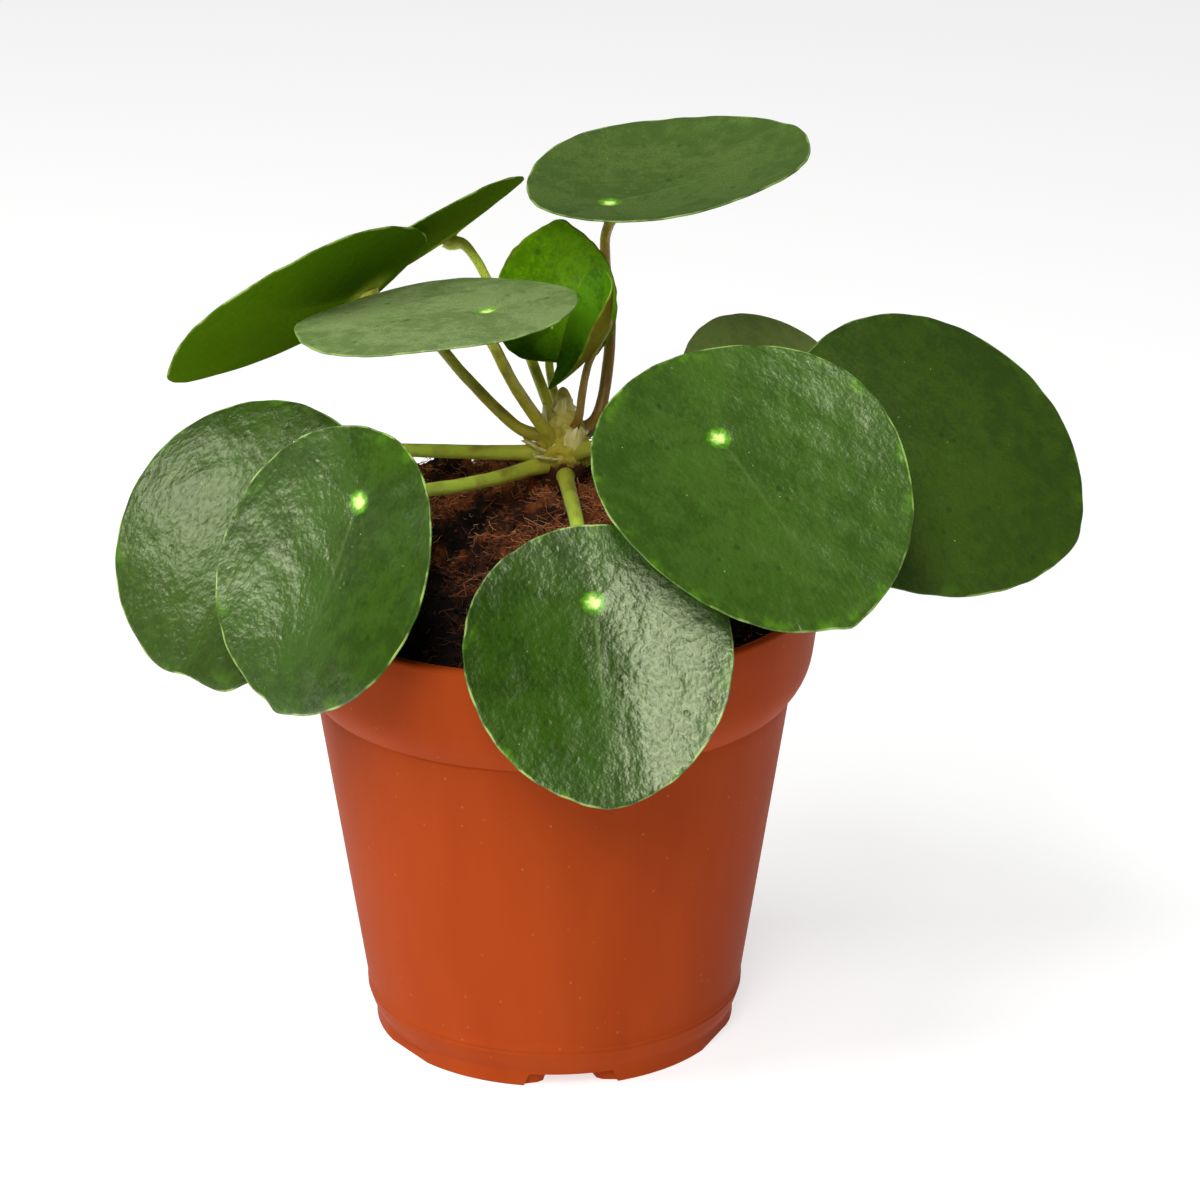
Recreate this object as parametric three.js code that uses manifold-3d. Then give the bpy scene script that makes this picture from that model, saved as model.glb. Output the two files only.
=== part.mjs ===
// Potted pilea plant: round leaves on long stalks, a short stem and a peat root ball in a nursery pot.
// Units are millimetres and +Z points up. Inside the plant group the pot stands on z = 0 with its axis on Z.
import * as THREE from 'three';
import { mergeVertices } from 'three/addons/utils/BufferGeometryUtils.js';
import Module from 'manifold-3d';

const wasm = await Module();
wasm.setup();

// Driving dimensions of the pot
const POT_HEIGHT = 92.7;
const RIM_RADIUS = 52.5;
const CREASE_RADIUS = 46.7;
const CREASE_HEIGHT = 70.4;
const BODY_FOOT_RADIUS = 37.6;
const FOOT_RADIUS = 36;
const FOOT_WIDTH = 7;
const WALL = 1.2;
const FLOOR_UNDERSIDE = 3;
const FLOOR_TOP = 4.2;
const NOTCH_COUNT = 6;
const NOTCH_MOUTH = 19.4;
const NOTCH_NECK = 11;
const NOTCH_END = 7.5;
const NOTCH_HEIGHT = 2.7;
const FIRST_NOTCH_HEADING = -84.2;
const FLAT_DISTANCE = 35.17;
const DRAIN_RADIUS = 3.2;
const DRAIN_RING_RADIUS = 25;
const POT_SEGMENTS = 60;

// Clearance that touching pieces keep
const GAP = 0.3;

// Soil: a root ball that fills the pot and is heaped towards the back
const SOIL_SIDE_GAP = 0.5;
const SOIL_WALL_HEIGHT = 86;
const SOIL_RIDGE_HEIGHT = 110;
const SOIL_RIDGE_Y = 28;
const SOIL_FRONT_FALL = 0.0038;
const SOIL_LUMP = 1;
const SOIL_RINGS = 11;
const SOIL_SPOKES = 44;

// Stem: a short corky trunk that stands in a plain hole in the soil
const STEM_X = 2;
const STEM_Y = 10;
const STEM_SHANK_RADIUS = 4;
const STEM_BOTTOM = 93;
const STEM_SEGMENTS = 20;

// Leaf blades
const BLADE_THICKNESS = 0.9;
const RIM_THICKNESS = 0.6;
const BLADE_SPOKES = 32;
const BLADE_RINGS = 4;
const NAVEL_DEPTH = 0.5;
const NAVEL_RADIUS = 2.2;
const EGG = 0.07;
const TIP_BUMP = 0.03;
const TIP_SPREAD = 0.25;

// Leaf stalks
const STALK_SIDES = 8;
const STALK_STEPS = 14;
const STALK_START_RADIUS = 3;
const STALK_APPROACH = 5;
const STALK_TIP_GAP = 0.4;

// Each leaf: where the stalk meets the blade, how far the upper face leans from straight up and towards
// which compass heading (+X is 0, +Y is 90), and how far the tip is turned from the downhill line.
// seat is the stalk's place along the length, and dish, fold and sag shape the upper face.
// The stalk leaves the stem at root, passes through the points of route and reaches the blade head on
// over its last approach.
const LEAVES = [
  {
    name: 'top_right', kind: 'glaucous',
    at: [11, 12, 164.7], tilt: 10, lean: 221, turn: 162,
    length: 55, width: 52.5, seat: 0.26, dish: 4, fold: 1.5, sag: 0,
    stalk: 2.1, root: { heading: 18, height: 118.9 },
    route: [[8, 15, 120.3], [10.4, 19, 128.7], [11.6, 22, 140.3], [11.4, 22.5, 149.4], [10.5, 18.5, 155.6]],
  },
  {
    name: 'back_left', kind: 'mature',
    at: [-21.4, 46, 148.7], tilt: 38, lean: 152, turn: 97,
    length: 48, width: 46, seat: 0.27, dish: 1, fold: 0, sag: -1,
    stalk: 2, root: { heading: 115, height: 120.2 },
    route: [
      [-0.6, 16, 122.3], [-3, 20, 127.3], [-5.8, 26, 132.6],
      [-9.2, 32, 137.9], [-12.8, 38, 142.8], [-16.9, 43, 146.1],
    ],
    approach: 2.5,
  },
  {
    name: 'upper_left', kind: 'mature',
    at: [-36.1, 14, 146.8], tilt: 41, lean: 138, turn: 45,
    length: 56, width: 53.5, seat: 0.27, dish: 4.5, fold: 2, sag: 0, egg: 0,
    stalk: 2.1, root: { heading: 158, height: 117.5 },
    route: [[-6.3, 11, 119.6], [-10, 11.2, 122.7], [-17.2, 11.5, 130.4], [-25, 11.5, 139.3]],
  },
  {
    name: 'middle_left', kind: 'glaucous',
    at: [-12, -14, 150.8], tilt: 7, lean: 166, turn: 4,
    length: 53, width: 51, seat: 0.32, dish: -0.5, fold: 0, sag: 0, egg: 0,
    stalk: 2.3, root: { heading: 225, height: 117.2 },
    route: [[-1.6, 5, 121.5], [-4.3, 1.5, 126.8], [-7.5, -3, 133.6], [-10.6, -8.5, 142]],
  },
  {
    name: 'young_upright', kind: 'young',
    at: [0, 15, 139], tilt: 74, lean: -84, turn: 174,
    length: 28, width: 23.5, seat: 0.3, dish: 1, fold: 2, sag: 0.5, point: 0.1,
    roll: { from: 0.45, radius: 2.4, at: 180, spread: 75 },
    stalk: 1.6, root: { heading: 72, height: 121.8 },
    route: [[0.6, 13.6, 125], [-0.6, 15, 130.3], [-0.8, 18, 134.6]],
  },
  {
    name: 'young_folded', kind: 'young',
    at: [9.1, 2, 144.4], tilt: 71, lean: -150, turn: -9,
    length: 23.2, width: 14.2, seat: 0.42, dish: 1, fold: 2, sag: -1, point: 0.1,
    roll: { from: 0.55, radius: 2.2, at: 90, spread: 80 },
    stalk: 1.5, root: { heading: -55, height: 119.5 },
    route: [[5, 5.6, 123.5], [5.8, 5, 129], [7, 4.4, 135]],
    approach: 2,
  },
  {
    name: 'back_right', kind: 'mature',
    at: [37.5, 30, 125], tilt: 44, lean: -48, turn: 28,
    length: 45, width: 43, seat: 0.27, dish: -1.5, fold: 0, sag: 0,
    stalk: 2, root: { heading: 50, height: 115.6 },
    route: [[9.5, 17.5, 119], [18, 24.5, 122.5], [28, 31, 122.5]],
  },
  {
    name: 'far_right', kind: 'mature',
    at: [61, 5, 123.5], tilt: 44, lean: -70, turn: 53,
    length: 63.5, width: 61.5, seat: 0.27, dish: -3, fold: 0, sag: 0.8, egg: 0.1,
    stalk: 2.5, root: { heading: 0, height: 112.6 },
    route: [[11, 11, 116.5], [24, 13, 120.5], [40, 14.5, 122.5], [52, 13.5, 120.5]],
  },
  {
    name: 'front_right', kind: 'mature',
    at: [31, -34, 132.5], tilt: 38, lean: -74, turn: 21,
    length: 62, width: 59, seat: 0.3, dish: 0.8, fold: 2.9, sag: 1, egg: 0.09,
    stalk: 2.6, root: { heading: -40, height: 115.5 },
    route: [[8.5, 4, 118], [14, -2, 120], [21.5, -12, 123.5], [27.5, -23, 126]],
  },
  {
    name: 'front_centre', kind: 'mature',
    at: [8, -52, 107], tilt: 59, lean: -83, turn: 2,
    length: 51.5, width: 49, seat: 0.28, dish: -0.6, fold: 0.6, sag: 0, egg: 0.09,
    stalk: 2.7, root: { heading: -78, height: 111.2 },
    route: [[2.6, 2, 112.3], [3.5, -8, 112.3], [4.7, -20, 111.8], [6, -33, 109.5]],
  },
  {
    name: 'front_left', kind: 'mature',
    at: [-35, -38, 121.5], tilt: 64, lean: -133, turn: -4,
    length: 54, width: 52, seat: 0.25, dish: 1.5, fold: 2.7, sag: 0, egg: 0,
    stalk: 2.6, root: { heading: -150, height: 112.3 },
    route: [[-4.6, 5.2, 112.4], [-10, -2, 113.8], [-17.7, -12, 115.8], [-25, -22, 118]],
  },
  {
    name: 'far_left', kind: 'mature',
    at: [-52.3, -16, 117.6], tilt: 54, lean: -113, turn: -24,
    length: 56.5, width: 54, seat: 0.29, dish: -4, fold: 0, sag: 1, egg: 0,
    stalk: 2, root: { heading: 170, height: 114.8 },
    route: [[-6, 9.5, 115.2], [-14.5, 7.5, 116], [-22.5, 4, 117.4], [-31, -0.5, 119], [-41, -6, 119.4]],
  },
];

// Finishes read from the photograph
const FINISH = {
  pot: { color: '#b5512c', roughness: 0.55, metalness: 0 },
  soil: { color: '#3a2012', roughness: 0.95, metalness: 0 },
  stem: { color: '#7a5430', roughness: 0.9, metalness: 0 },
  mature: { color: '#44662b', roughness: 0.45, metalness: 0 },
  glaucous: { color: '#5f7641', roughness: 0.5, metalness: 0 },
  young: { color: '#4f7a08', roughness: 0.4, metalness: 0 },
  stalk: { color: '#75802c', roughness: 0.5, metalness: 0 },
};

const radians = THREE.MathUtils.degToRad;

// A bare indexed geometry with its shared points joined and its flattened triangles left out
function tidyGeometry(source) {
  const bare = new THREE.BufferGeometry();
  bare.setAttribute('position', source.getAttribute('position').clone());
  if (source.index) {
    bare.setIndex(source.index.clone());
  }
  const merged = mergeVertices(bare, 1e-4);
  const index = merged.index.array;
  const kept = [];
  for (let i = 0; i < index.length; i += 3) {
    const [a, b, c] = [index[i], index[i + 1], index[i + 2]];
    if (a !== b && b !== c && c !== a) {
      kept.push(a, b, c);
    }
  }
  merged.setIndex(kept);
  return merged;
}

// A closed solid ready for joining and cutting
function toSolid(geometry) {
  const clean = tidyGeometry(geometry);
  const mesh = new wasm.Mesh({
    numProp: 3,
    vertProperties: new Float32Array(clean.getAttribute('position').array),
    triVerts: new Uint32Array(clean.index.array),
  });
  return new wasm.Manifold(mesh);
}

function toGeometry(solid) {
  const mesh = solid.getMesh();
  const geometry = new THREE.BufferGeometry();
  geometry.setAttribute('position', new THREE.BufferAttribute(new Float32Array(mesh.vertProperties), 3));
  geometry.setIndex(Array.from(mesh.triVerts));
  geometry.computeVertexNormals();
  return geometry;
}

function geometryFrom(points, triangles) {
  const geometry = new THREE.BufferGeometry();
  const numbers = points.flatMap((p) => [p.x, p.y, p.z]);
  geometry.setAttribute('position', new THREE.Float32BufferAttribute(numbers, 3));
  geometry.setIndex(triangles.flat());
  geometry.computeVertexNormals();
  return geometry;
}

function finishedMesh(name, geometry, finish) {
  const mesh = new THREE.Mesh(geometry, new THREE.MeshStandardMaterial(FINISH[finish]));
  mesh.name = name;
  return mesh;
}

// A closed skin over a stack of rings, each turning left about the way the stack grows
function loft(rings) {
  const sides = rings[0].length;
  const triangles = [];
  for (let i = 0; i + 1 < rings.length; i++) {
    for (let j = 0; j < sides; j++) {
      const a = i * sides + j;
      const b = i * sides + ((j + 1) % sides);
      triangles.push([a, b, b + sides], [a, b + sides, a + sides]);
    }
  }
  const last = (rings.length - 1) * sides;
  for (let j = 1; j + 1 < sides; j++) {
    triangles.push([0, j + 1, j], [last, last + j, last + j + 1]);
  }
  return geometryFrom(rings.flat(), triangles);
}

// Inside of the pot wall from the floor up, as radius and height
function potInside() {
  return [
    [FOOT_RADIUS - WALL - 0.6, FLOOR_TOP],
    [FOOT_RADIUS, FLOOR_TOP + 1.4],
    [BODY_FOOT_RADIUS - WALL, 9],
    [CREASE_RADIUS - WALL - 0.2, CREASE_HEIGHT - 0.6],
    [CREASE_RADIUS + 0.6, CREASE_HEIGHT + 2],
    [CREASE_RADIUS + 2.6, CREASE_HEIGHT + 5.4],
    [RIM_RADIUS - 2.2, POT_HEIGHT - 3],
    [RIM_RADIUS - 1.7, POT_HEIGHT],
  ];
}

// Outside of the pot from the rim down to the foot
function potOutside() {
  return [
    [RIM_RADIUS - 0.3, POT_HEIGHT],
    [RIM_RADIUS, POT_HEIGHT - 0.6],
    [RIM_RADIUS - 0.8, 81],
    [RIM_RADIUS - 1.5, 76.6],
    [RIM_RADIUS - 2.3, 74.4],
    [RIM_RADIUS - 3.6, 72.6],
    [RIM_RADIUS - 5, 71.2],
    [CREASE_RADIUS, CREASE_HEIGHT],
    [BODY_FOOT_RADIUS, 9.4],
    [BODY_FOOT_RADIUS - 0.1, 7.2],
    [BODY_FOOT_RADIUS - 0.6, 5.2],
    [FOOT_RADIUS + 0.4, 3.9],
    [FOOT_RADIUS, 3],
    [FOOT_RADIUS, 0],
  ];
}

// One drain channel through the foot ring: a wide mouth in the outer skin that narrows inwards
function notchSolid(heading) {
  const half = [
    [FOOT_RADIUS - FOOT_WIDTH - 2, NOTCH_END / 2],
    [FOOT_RADIUS - 3.4, NOTCH_NECK / 2],
    [FOOT_RADIUS - 2.6, NOTCH_NECK / 2 + 1.2],
    [FOOT_RADIUS - 2.2, NOTCH_MOUTH / 2],
    [FOOT_RADIUS + 5, NOTCH_MOUTH / 2],
  ];
  const otherHalf = half.map(([x, y]) => [x, -y]).reverse();
  const shape = new THREE.Shape([...half, ...otherHalf].map(([x, y]) => new THREE.Vector2(x, y)));
  const wedge = new THREE.ExtrudeGeometry(shape, { depth: NOTCH_HEIGHT + 1, bevelEnabled: false });
  wedge.translate(0, 0, -1);
  wedge.rotateZ(radians(heading));
  return toSolid(wedge);
}

// One shallow flat on the outside of the foot ring, halfway between two drain channels
function flatSolid(heading) {
  const block = new THREE.BoxGeometry(8, 24, NOTCH_HEIGHT + 1);
  block.translate(FLAT_DISTANCE + 4, 0, (NOTCH_HEIGHT + 1) / 2 - 1);
  block.rotateZ(radians(heading));
  return toSolid(block);
}

function drainSolid(heading) {
  const drill = new THREE.CylinderGeometry(DRAIN_RADIUS, DRAIN_RADIUS, 10, 12);
  drill.rotateX(Math.PI / 2);
  drill.translate(DRAIN_RING_RADIUS, 0, FLOOR_TOP);
  drill.rotateZ(radians(heading));
  return toSolid(drill);
}

// Thin moulded pot with a rim band, a notched foot ring and drain holes in a raised floor
function makePot() {
  const profile = [
    [0, FLOOR_UNDERSIDE],
    [FOOT_RADIUS - FOOT_WIDTH, FLOOR_UNDERSIDE],
    [FOOT_RADIUS - FOOT_WIDTH, 0],
    ...potOutside().reverse(),
    ...potInside().reverse(),
    [0, FLOOR_TOP],
  ];
  const points = profile.map(([radius, height]) => new THREE.Vector2(radius, height));
  const lathe = new THREE.LatheGeometry(points, POT_SEGMENTS);
  lathe.rotateX(Math.PI / 2);
  let pot = toSolid(lathe);
  for (let i = 0; i < NOTCH_COUNT; i++) {
    const heading = FIRST_NOTCH_HEADING + (i * 360) / NOTCH_COUNT;
    const cut = i % 2 === 0 ? notchSolid(heading) : flatSolid(heading);
    pot = pot.subtract(cut).subtract(drainSolid(heading));
  }
  return finishedMesh('pot', toGeometry(pot), 'pot');
}

function lump(x, y) {
  return Math.sin(0.31 * x + 1.7) * Math.cos(0.27 * y + 0.4) + 0.6 * Math.sin(0.62 * x - 0.55 * y);
}

// Height of the soil: a back ridge that falls to the front and turns down at the pot wall
function soilHeight(x, y, wallRadius) {
  const ahead = Math.max(0, SOIL_RIDGE_Y - y);
  const ridge = SOIL_RIDGE_HEIGHT - SOIL_FRONT_FALL * ahead * ahead;
  const edge = Math.min(1, Math.hypot(x, y) / wallRadius);
  const inner = 1 - edge ** 10;
  return SOIL_WALL_HEIGHT + (ridge - SOIL_WALL_HEIGHT + SOIL_LUMP * lump(x, y)) * inner;
}

// Root ball that fills the pot, with a plain hole for the stem
function makeSoil() {
  const side = potInside()
    .map(([radius, height]) => [radius - SOIL_SIDE_GAP, height])
    .filter(([, height]) => height < SOIL_WALL_HEIGHT);
  side[0][1] += GAP;
  const [lowRadius, lowHeight] = side[side.length - 1];
  const [highRadius, highHeight] = potInside()[6];
  const share = (SOIL_WALL_HEIGHT - lowHeight) / (highHeight - lowHeight);
  const wallRadius = lowRadius + (highRadius - SOIL_SIDE_GAP - lowRadius) * share;
  const rings = side.map(([radius, height]) => soilRing(radius, () => height));
  for (let i = 0; i <= SOIL_RINGS; i++) {
    const radius = wallRadius * Math.cos((i / SOIL_RINGS) * (Math.PI / 2)) ** 0.8;
    rings.push(soilRing(radius, (x, y) => soilHeight(x, y, wallRadius)));
  }
  const holeRadius = STEM_SHANK_RADIUS + GAP;
  const hole = new THREE.CylinderGeometry(holeRadius, holeRadius, 40, STEM_SEGMENTS);
  hole.rotateX(Math.PI / 2);
  hole.translate(STEM_X, STEM_Y, STEM_BOTTOM - GAP + 20);
  return finishedMesh('soil', toGeometry(toSolid(loft(rings)).subtract(toSolid(hole))), 'soil');
}

function soilRing(radius, heightAt) {
  const ring = [];
  for (let j = 0; j < SOIL_SPOKES; j++) {
    const angle = (j / SOIL_SPOKES) * Math.PI * 2;
    const x = radius * Math.cos(angle);
    const y = radius * Math.sin(angle);
    ring.push(new THREE.Vector3(x, y, heightAt(x, y)));
  }
  return ring;
}

// Papery scale that stands at the foot of a stalk
function stipuleSolid({ heading, height, reach, rise, width }) {
  const scale = new THREE.ConeGeometry(width / 2, reach, 6);
  scale.scale(1, 1, 0.32);
  scale.translate(0, reach / 2 - 2, 0);
  scale.rotateZ(-Math.PI / 2);
  scale.rotateY(-radians(rise));
  scale.translate(3.4, 0, height);
  scale.rotateZ(radians(heading));
  scale.translate(STEM_X, STEM_Y, 0);
  return toSolid(scale);
}

const STIPULES = [
  { heading: -58, height: 120.2, reach: 7, rise: 62, width: 4 },
  { heading: 150, height: 118.6, reach: 6, rise: 66, width: 3.6 },
  { heading: -20, height: 114.6, reach: 6.5, rise: 50, width: 4.4 },
  { heading: -135, height: 112.6, reach: 6, rise: 28, width: 5 },
  { heading: 20, height: 119.6, reach: 6, rise: 70, width: 3.4 },
  { heading: 95, height: 116, reach: 6, rise: 55, width: 4 },
];

// Trunk with its leaf bud and scales; each stalk stands in a socket cut to fit it
function makeStem(stalkCutters) {
  const profile = [
    [0, STEM_BOTTOM],
    [STEM_SHANK_RADIUS, STEM_BOTTOM],
    [STEM_SHANK_RADIUS, 111.3],
    [4.7, 113],
    [4.5, 115.2],
    [4.9, 117.3],
    [4.6, 119.6],
    [3.9, 121.6],
    [2.5, 123.2],
    [1.4, 124.8],
    [0.8, 128],
    [0, 129.8],
  ];
  const points = profile.map(([radius, height]) => new THREE.Vector2(radius, height));
  const lathe = new THREE.LatheGeometry(points, STEM_SEGMENTS);
  lathe.rotateX(Math.PI / 2);
  lathe.translate(STEM_X, STEM_Y, 0);
  let stem = toSolid(lathe);
  for (const stipule of STIPULES) {
    stem = stem.add(stipuleSolid(stipule));
  }
  for (const cutter of stalkCutters) {
    stem = stem.subtract(cutter);
  }
  const pieces = stem.decompose().sort((a, b) => b.volume() - a.volume());
  return finishedMesh('stem', toGeometry(pieces[0]), 'stem');
}

function leafTurn({ tilt, lean, turn }) {
  const about = (axis, degrees) => new THREE.Quaternion().setFromAxisAngle(axis, radians(degrees));
  const up = new THREE.Vector3(0, 0, 1);
  const side = new THREE.Vector3(0, 1, 0);
  return about(up, lean).multiply(about(side, tilt)).multiply(about(up, turn));
}

// A point of the upper face in the leaf's own frame: +X to the tip, +Z out of the upper face
function bladePoint(leaf, share, angle, phase) {
  const { length, width, seat, dish, fold, sag, egg = EGG, point = TIP_BUMP, roll } = leaf;
  const size = (length + width) / 4;
  const centre = length * (0.5 - seat);
  const bump = 1 + point * Math.exp(-((angle / TIP_SPREAD) ** 2));
  let x = share * (centre + (length / 2) * Math.cos(angle) * bump);
  let y = share * (width / 2) * Math.sin(angle) * (1 - egg * Math.cos(angle));
  const navel = NAVEL_DEPTH * (1 - Math.exp(-(x * x + y * y) / NAVEL_RADIUS ** 2));
  let z = navel + dish * (((x - centre) ** 2 + y * y - centre * centre) / size ** 2);
  z += fold * (y / size) ** 2 - sag * (x / size) ** 2;
  z += 0.012 * size * share ** 3 * Math.sin(4 * angle + phase);
  if (roll) {
    const swing = Math.atan2(y, x) - radians(roll.at) + Math.PI;
    const away = THREE.MathUtils.euclideanModulo(swing, 2 * Math.PI) - Math.PI;
    const reach = Math.min(1, Math.abs(away) / radians(roll.spread));
    const weight = Math.cos((reach * Math.PI) / 2);
    const radius = Math.hypot(x, y);
    const past = Math.max(0, share - roll.from) * (share > 0 ? radius / share : 0) * weight;
    const curl = past / roll.radius;
    const pulled = (radius - past + roll.radius * Math.sin(curl)) / (radius || 1);
    x *= pulled;
    y *= pulled;
    z += roll.radius * (1 - Math.cos(curl));
  }
  return new THREE.Vector3(x, y, z);
}

// Coin shaped blade: the same fan of triangles above and below, joined round the edge
function makeBlade(leaf, order) {
  const phase = order * 2.4;
  const top = [bladePoint(leaf, 0, 0, phase)];
  const bottom = [top[0].clone().setZ(top[0].z - BLADE_THICKNESS)];
  for (let ring = 1; ring <= BLADE_RINGS; ring++) {
    for (let spoke = 0; spoke < BLADE_SPOKES; spoke++) {
      const turn = (spoke / BLADE_SPOKES) * 2 * Math.PI;
      const angle = turn > Math.PI ? turn - 2 * Math.PI : turn;
      const share = (ring / BLADE_RINGS) ** 0.8;
      const point = bladePoint(leaf, share, angle, phase);
      const thickness = THREE.MathUtils.lerp(BLADE_THICKNESS, RIM_THICKNESS, share ** 2);
      top.push(point);
      bottom.push(point.clone().setZ(point.z - thickness));
    }
  }
  const under = top.length;
  const triangles = [];
  const both = (a, b, c) => triangles.push([a, b, c], [under + c, under + b, under + a]);
  for (let spoke = 0; spoke < BLADE_SPOKES; spoke++) {
    const next = (spoke + 1) % BLADE_SPOKES;
    both(0, 1 + spoke, 1 + next);
    for (let ring = 1; ring < BLADE_RINGS; ring++) {
      const inner = 1 + (ring - 1) * BLADE_SPOKES;
      const outer = inner + BLADE_SPOKES;
      both(inner + spoke, outer + spoke, outer + next);
      both(inner + spoke, outer + next, inner + next);
    }
    const rim = 1 + (BLADE_RINGS - 1) * BLADE_SPOKES;
    triangles.push([rim + spoke, under + rim + spoke, under + rim + next]);
    triangles.push([rim + spoke, under + rim + next, rim + next]);
  }
  const mesh = finishedMesh(`leaf_${leaf.name}`, geometryFrom([...top, ...bottom], triangles), leaf.kind);
  mesh.quaternion.copy(leafTurn(leaf));
  mesh.position.set(...leaf.at);
  return mesh;
}

// The stalk's centre line, from inside the stem to just under the blade
function stalkCurve(leaf) {
  const heading = radians(leaf.root.heading);
  const start = new THREE.Vector3(
    STEM_X + STALK_START_RADIUS * Math.cos(heading),
    STEM_Y + STALK_START_RADIUS * Math.sin(heading),
    leaf.root.height,
  );
  const face = new THREE.Vector3(0, 0, 1).applyQuaternion(leafTurn(leaf));
  const below = (distance) => new THREE.Vector3(...leaf.at).addScaledVector(face, -distance);
  const route = leaf.route.map((point) => new THREE.Vector3(...point));
  return new THREE.CatmullRomCurve3(
    [start, ...route, below(leaf.approach ?? STALK_APPROACH), below(BLADE_THICKNESS + STALK_TIP_GAP)],
    false,
    'centripetal',
  );
}

// A round stalk, thicker at the stem and flared a little under the blade
function stalkGeometry(leaf, extra) {
  const curve = stalkCurve(leaf);
  const frames = curve.computeFrenetFrames(STALK_STEPS);
  const rings = [];
  for (let i = 0; i <= STALK_STEPS; i++) {
    const share = i / STALK_STEPS;
    const swell = 1.15 - 0.25 * share + 0.2 * share ** 8;
    const radius = (leaf.stalk / 2) * swell + extra;
    const centre = curve.getPointAt(share);
    if (i === 0) {
      centre.addScaledVector(frames.tangents[0], -extra);
    }
    const ring = [];
    for (let j = 0; j < STALK_SIDES; j++) {
      const angle = (j / STALK_SIDES) * 2 * Math.PI;
      const point = centre.clone();
      point.addScaledVector(frames.normals[i], radius * Math.cos(angle));
      point.addScaledVector(frames.binormals[i], radius * Math.sin(angle));
      ring.push(point);
    }
    rings.push(ring);
  }
  return loft(rings);
}

function makeStalk(leaf) {
  return finishedMesh(`petiole_${leaf.name}`, stalkGeometry(leaf, 0), 'stalk');
}

const plant = new THREE.Group();
plant.add(makePot());
plant.add(makeSoil());
plant.add(makeStem(LEAVES.map((leaf) => toSolid(stalkGeometry(leaf, GAP)))));
LEAVES.forEach((leaf, order) => {
  plant.add(makeStalk(leaf));
  plant.add(makeBlade(leaf, order));
});

// The row's origin is the middle of the whole plant's footprint, on the ground
const part = new THREE.Group();
part.add(plant);
part.updateMatrixWorld(true);
const box = new THREE.Box3().setFromObject(plant, true);
plant.position.set(-(box.min.x + box.max.x) / 2, -(box.min.y + box.max.y) / 2, 0);

export default part;
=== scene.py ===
"""Potted pilea plant: the look of its leaves, stalks, crown, peat and nursery pot.

Sizes are in millimetres, measured from the pot's axis on the ground, and turn to metres in the meshes.
"""

import logging
import math
from dataclasses import dataclass, field, replace
from enum import Enum
from functools import partial
from typing import Any, Sequence

import bmesh
import bpy
import numpy as np
from mathutils import Matrix, Vector

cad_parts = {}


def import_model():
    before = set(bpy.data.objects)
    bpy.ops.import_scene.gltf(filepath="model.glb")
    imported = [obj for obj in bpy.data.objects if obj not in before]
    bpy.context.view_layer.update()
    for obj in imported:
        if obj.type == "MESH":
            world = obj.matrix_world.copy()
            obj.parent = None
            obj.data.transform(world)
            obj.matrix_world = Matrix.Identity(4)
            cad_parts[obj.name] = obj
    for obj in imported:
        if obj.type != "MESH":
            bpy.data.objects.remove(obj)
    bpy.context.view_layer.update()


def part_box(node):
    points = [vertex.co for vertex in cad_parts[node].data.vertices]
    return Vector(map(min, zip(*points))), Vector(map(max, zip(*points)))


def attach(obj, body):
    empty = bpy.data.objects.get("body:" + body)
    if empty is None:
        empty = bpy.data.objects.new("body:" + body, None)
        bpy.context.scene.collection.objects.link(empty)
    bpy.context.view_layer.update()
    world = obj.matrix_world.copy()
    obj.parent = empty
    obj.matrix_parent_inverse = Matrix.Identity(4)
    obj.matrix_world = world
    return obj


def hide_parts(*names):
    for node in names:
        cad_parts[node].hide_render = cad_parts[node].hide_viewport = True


LOG = logging.getLogger("pilea")
BODY = "root"
MM = 0.001
TURN = 2 * math.pi
SOFT = {"interpolation_type": "SMOOTHSTEP"}
UV_SPAN = 100.0  # millimetres of a blade from side to side of its map
BEAD = (55, 20, -20, -55)  # headings round the rim's rounded edge, in degrees

Array = np.ndarray
Point = tuple[float, float, float]
Pair = tuple[float, float]
Faces = list[tuple[int, ...]]
Tree = bpy.types.NodeTree
Mesh = bpy.types.Mesh


# Small helpers


def linear(code: str) -> tuple[float, float, float, float]:
    """Turns an sRGB hex colour into linear light.

    Args:
        code: colour such as "#A54022".

    Returns:
        Red, green, blue and an alpha of 1.
    """
    parts = [int(code[i : i + 2], 16) / 255 for i in (1, 3, 5)]
    light = [p / 12.92 if p <= 0.04045 else ((p + 0.055) / 1.055) ** 2.4 for p in parts]
    return (light[0], light[1], light[2], 1.0)


def add_node(
    tree: Tree, kind: str, *values: Any, named: dict[Any, Any] | None = None,
    stops: Sequence[tuple[float, str]] = (), out: Any = 0, **settings: Any,
) -> Any:
    """Adds a node with its settings and links.

    Args:
        tree: shader or geometry tree that gets the node.
        kind: Blender's name for the node, without its first words for a shading node.
        values: a socket or plain value for each of the first inputs; None leaves one alone.
        named: a socket or plain value for other inputs, by name or number.
        stops: place and hex colour of each stop of a colour ramp.
        out: name or number of the wanted output.
        settings: the node's own properties.

    Returns:
        The wanted output, or the node where it has none.
    """
    node = tree.nodes.new(kind if kind.startswith(("Geometry", "Function", "Node")) else f"ShaderNode{kind}")
    for key, value in settings.items():
        setattr(node, key, value)
    for key, source in (dict(enumerate(values)) | (named or {})).items():
        if isinstance(source, bpy.types.NodeSocket):
            tree.links.new(source, node.inputs[key])
        elif source is not None:
            node.inputs[key].default_value = source
    for number, (place, code) in enumerate(stops):
        elements = node.color_ramp.elements
        element = elements.new(place) if number > 1 else elements[-number]
        element.position, element.color = place, linear(code)
    return node.outputs[out] if node.outputs else node


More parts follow.
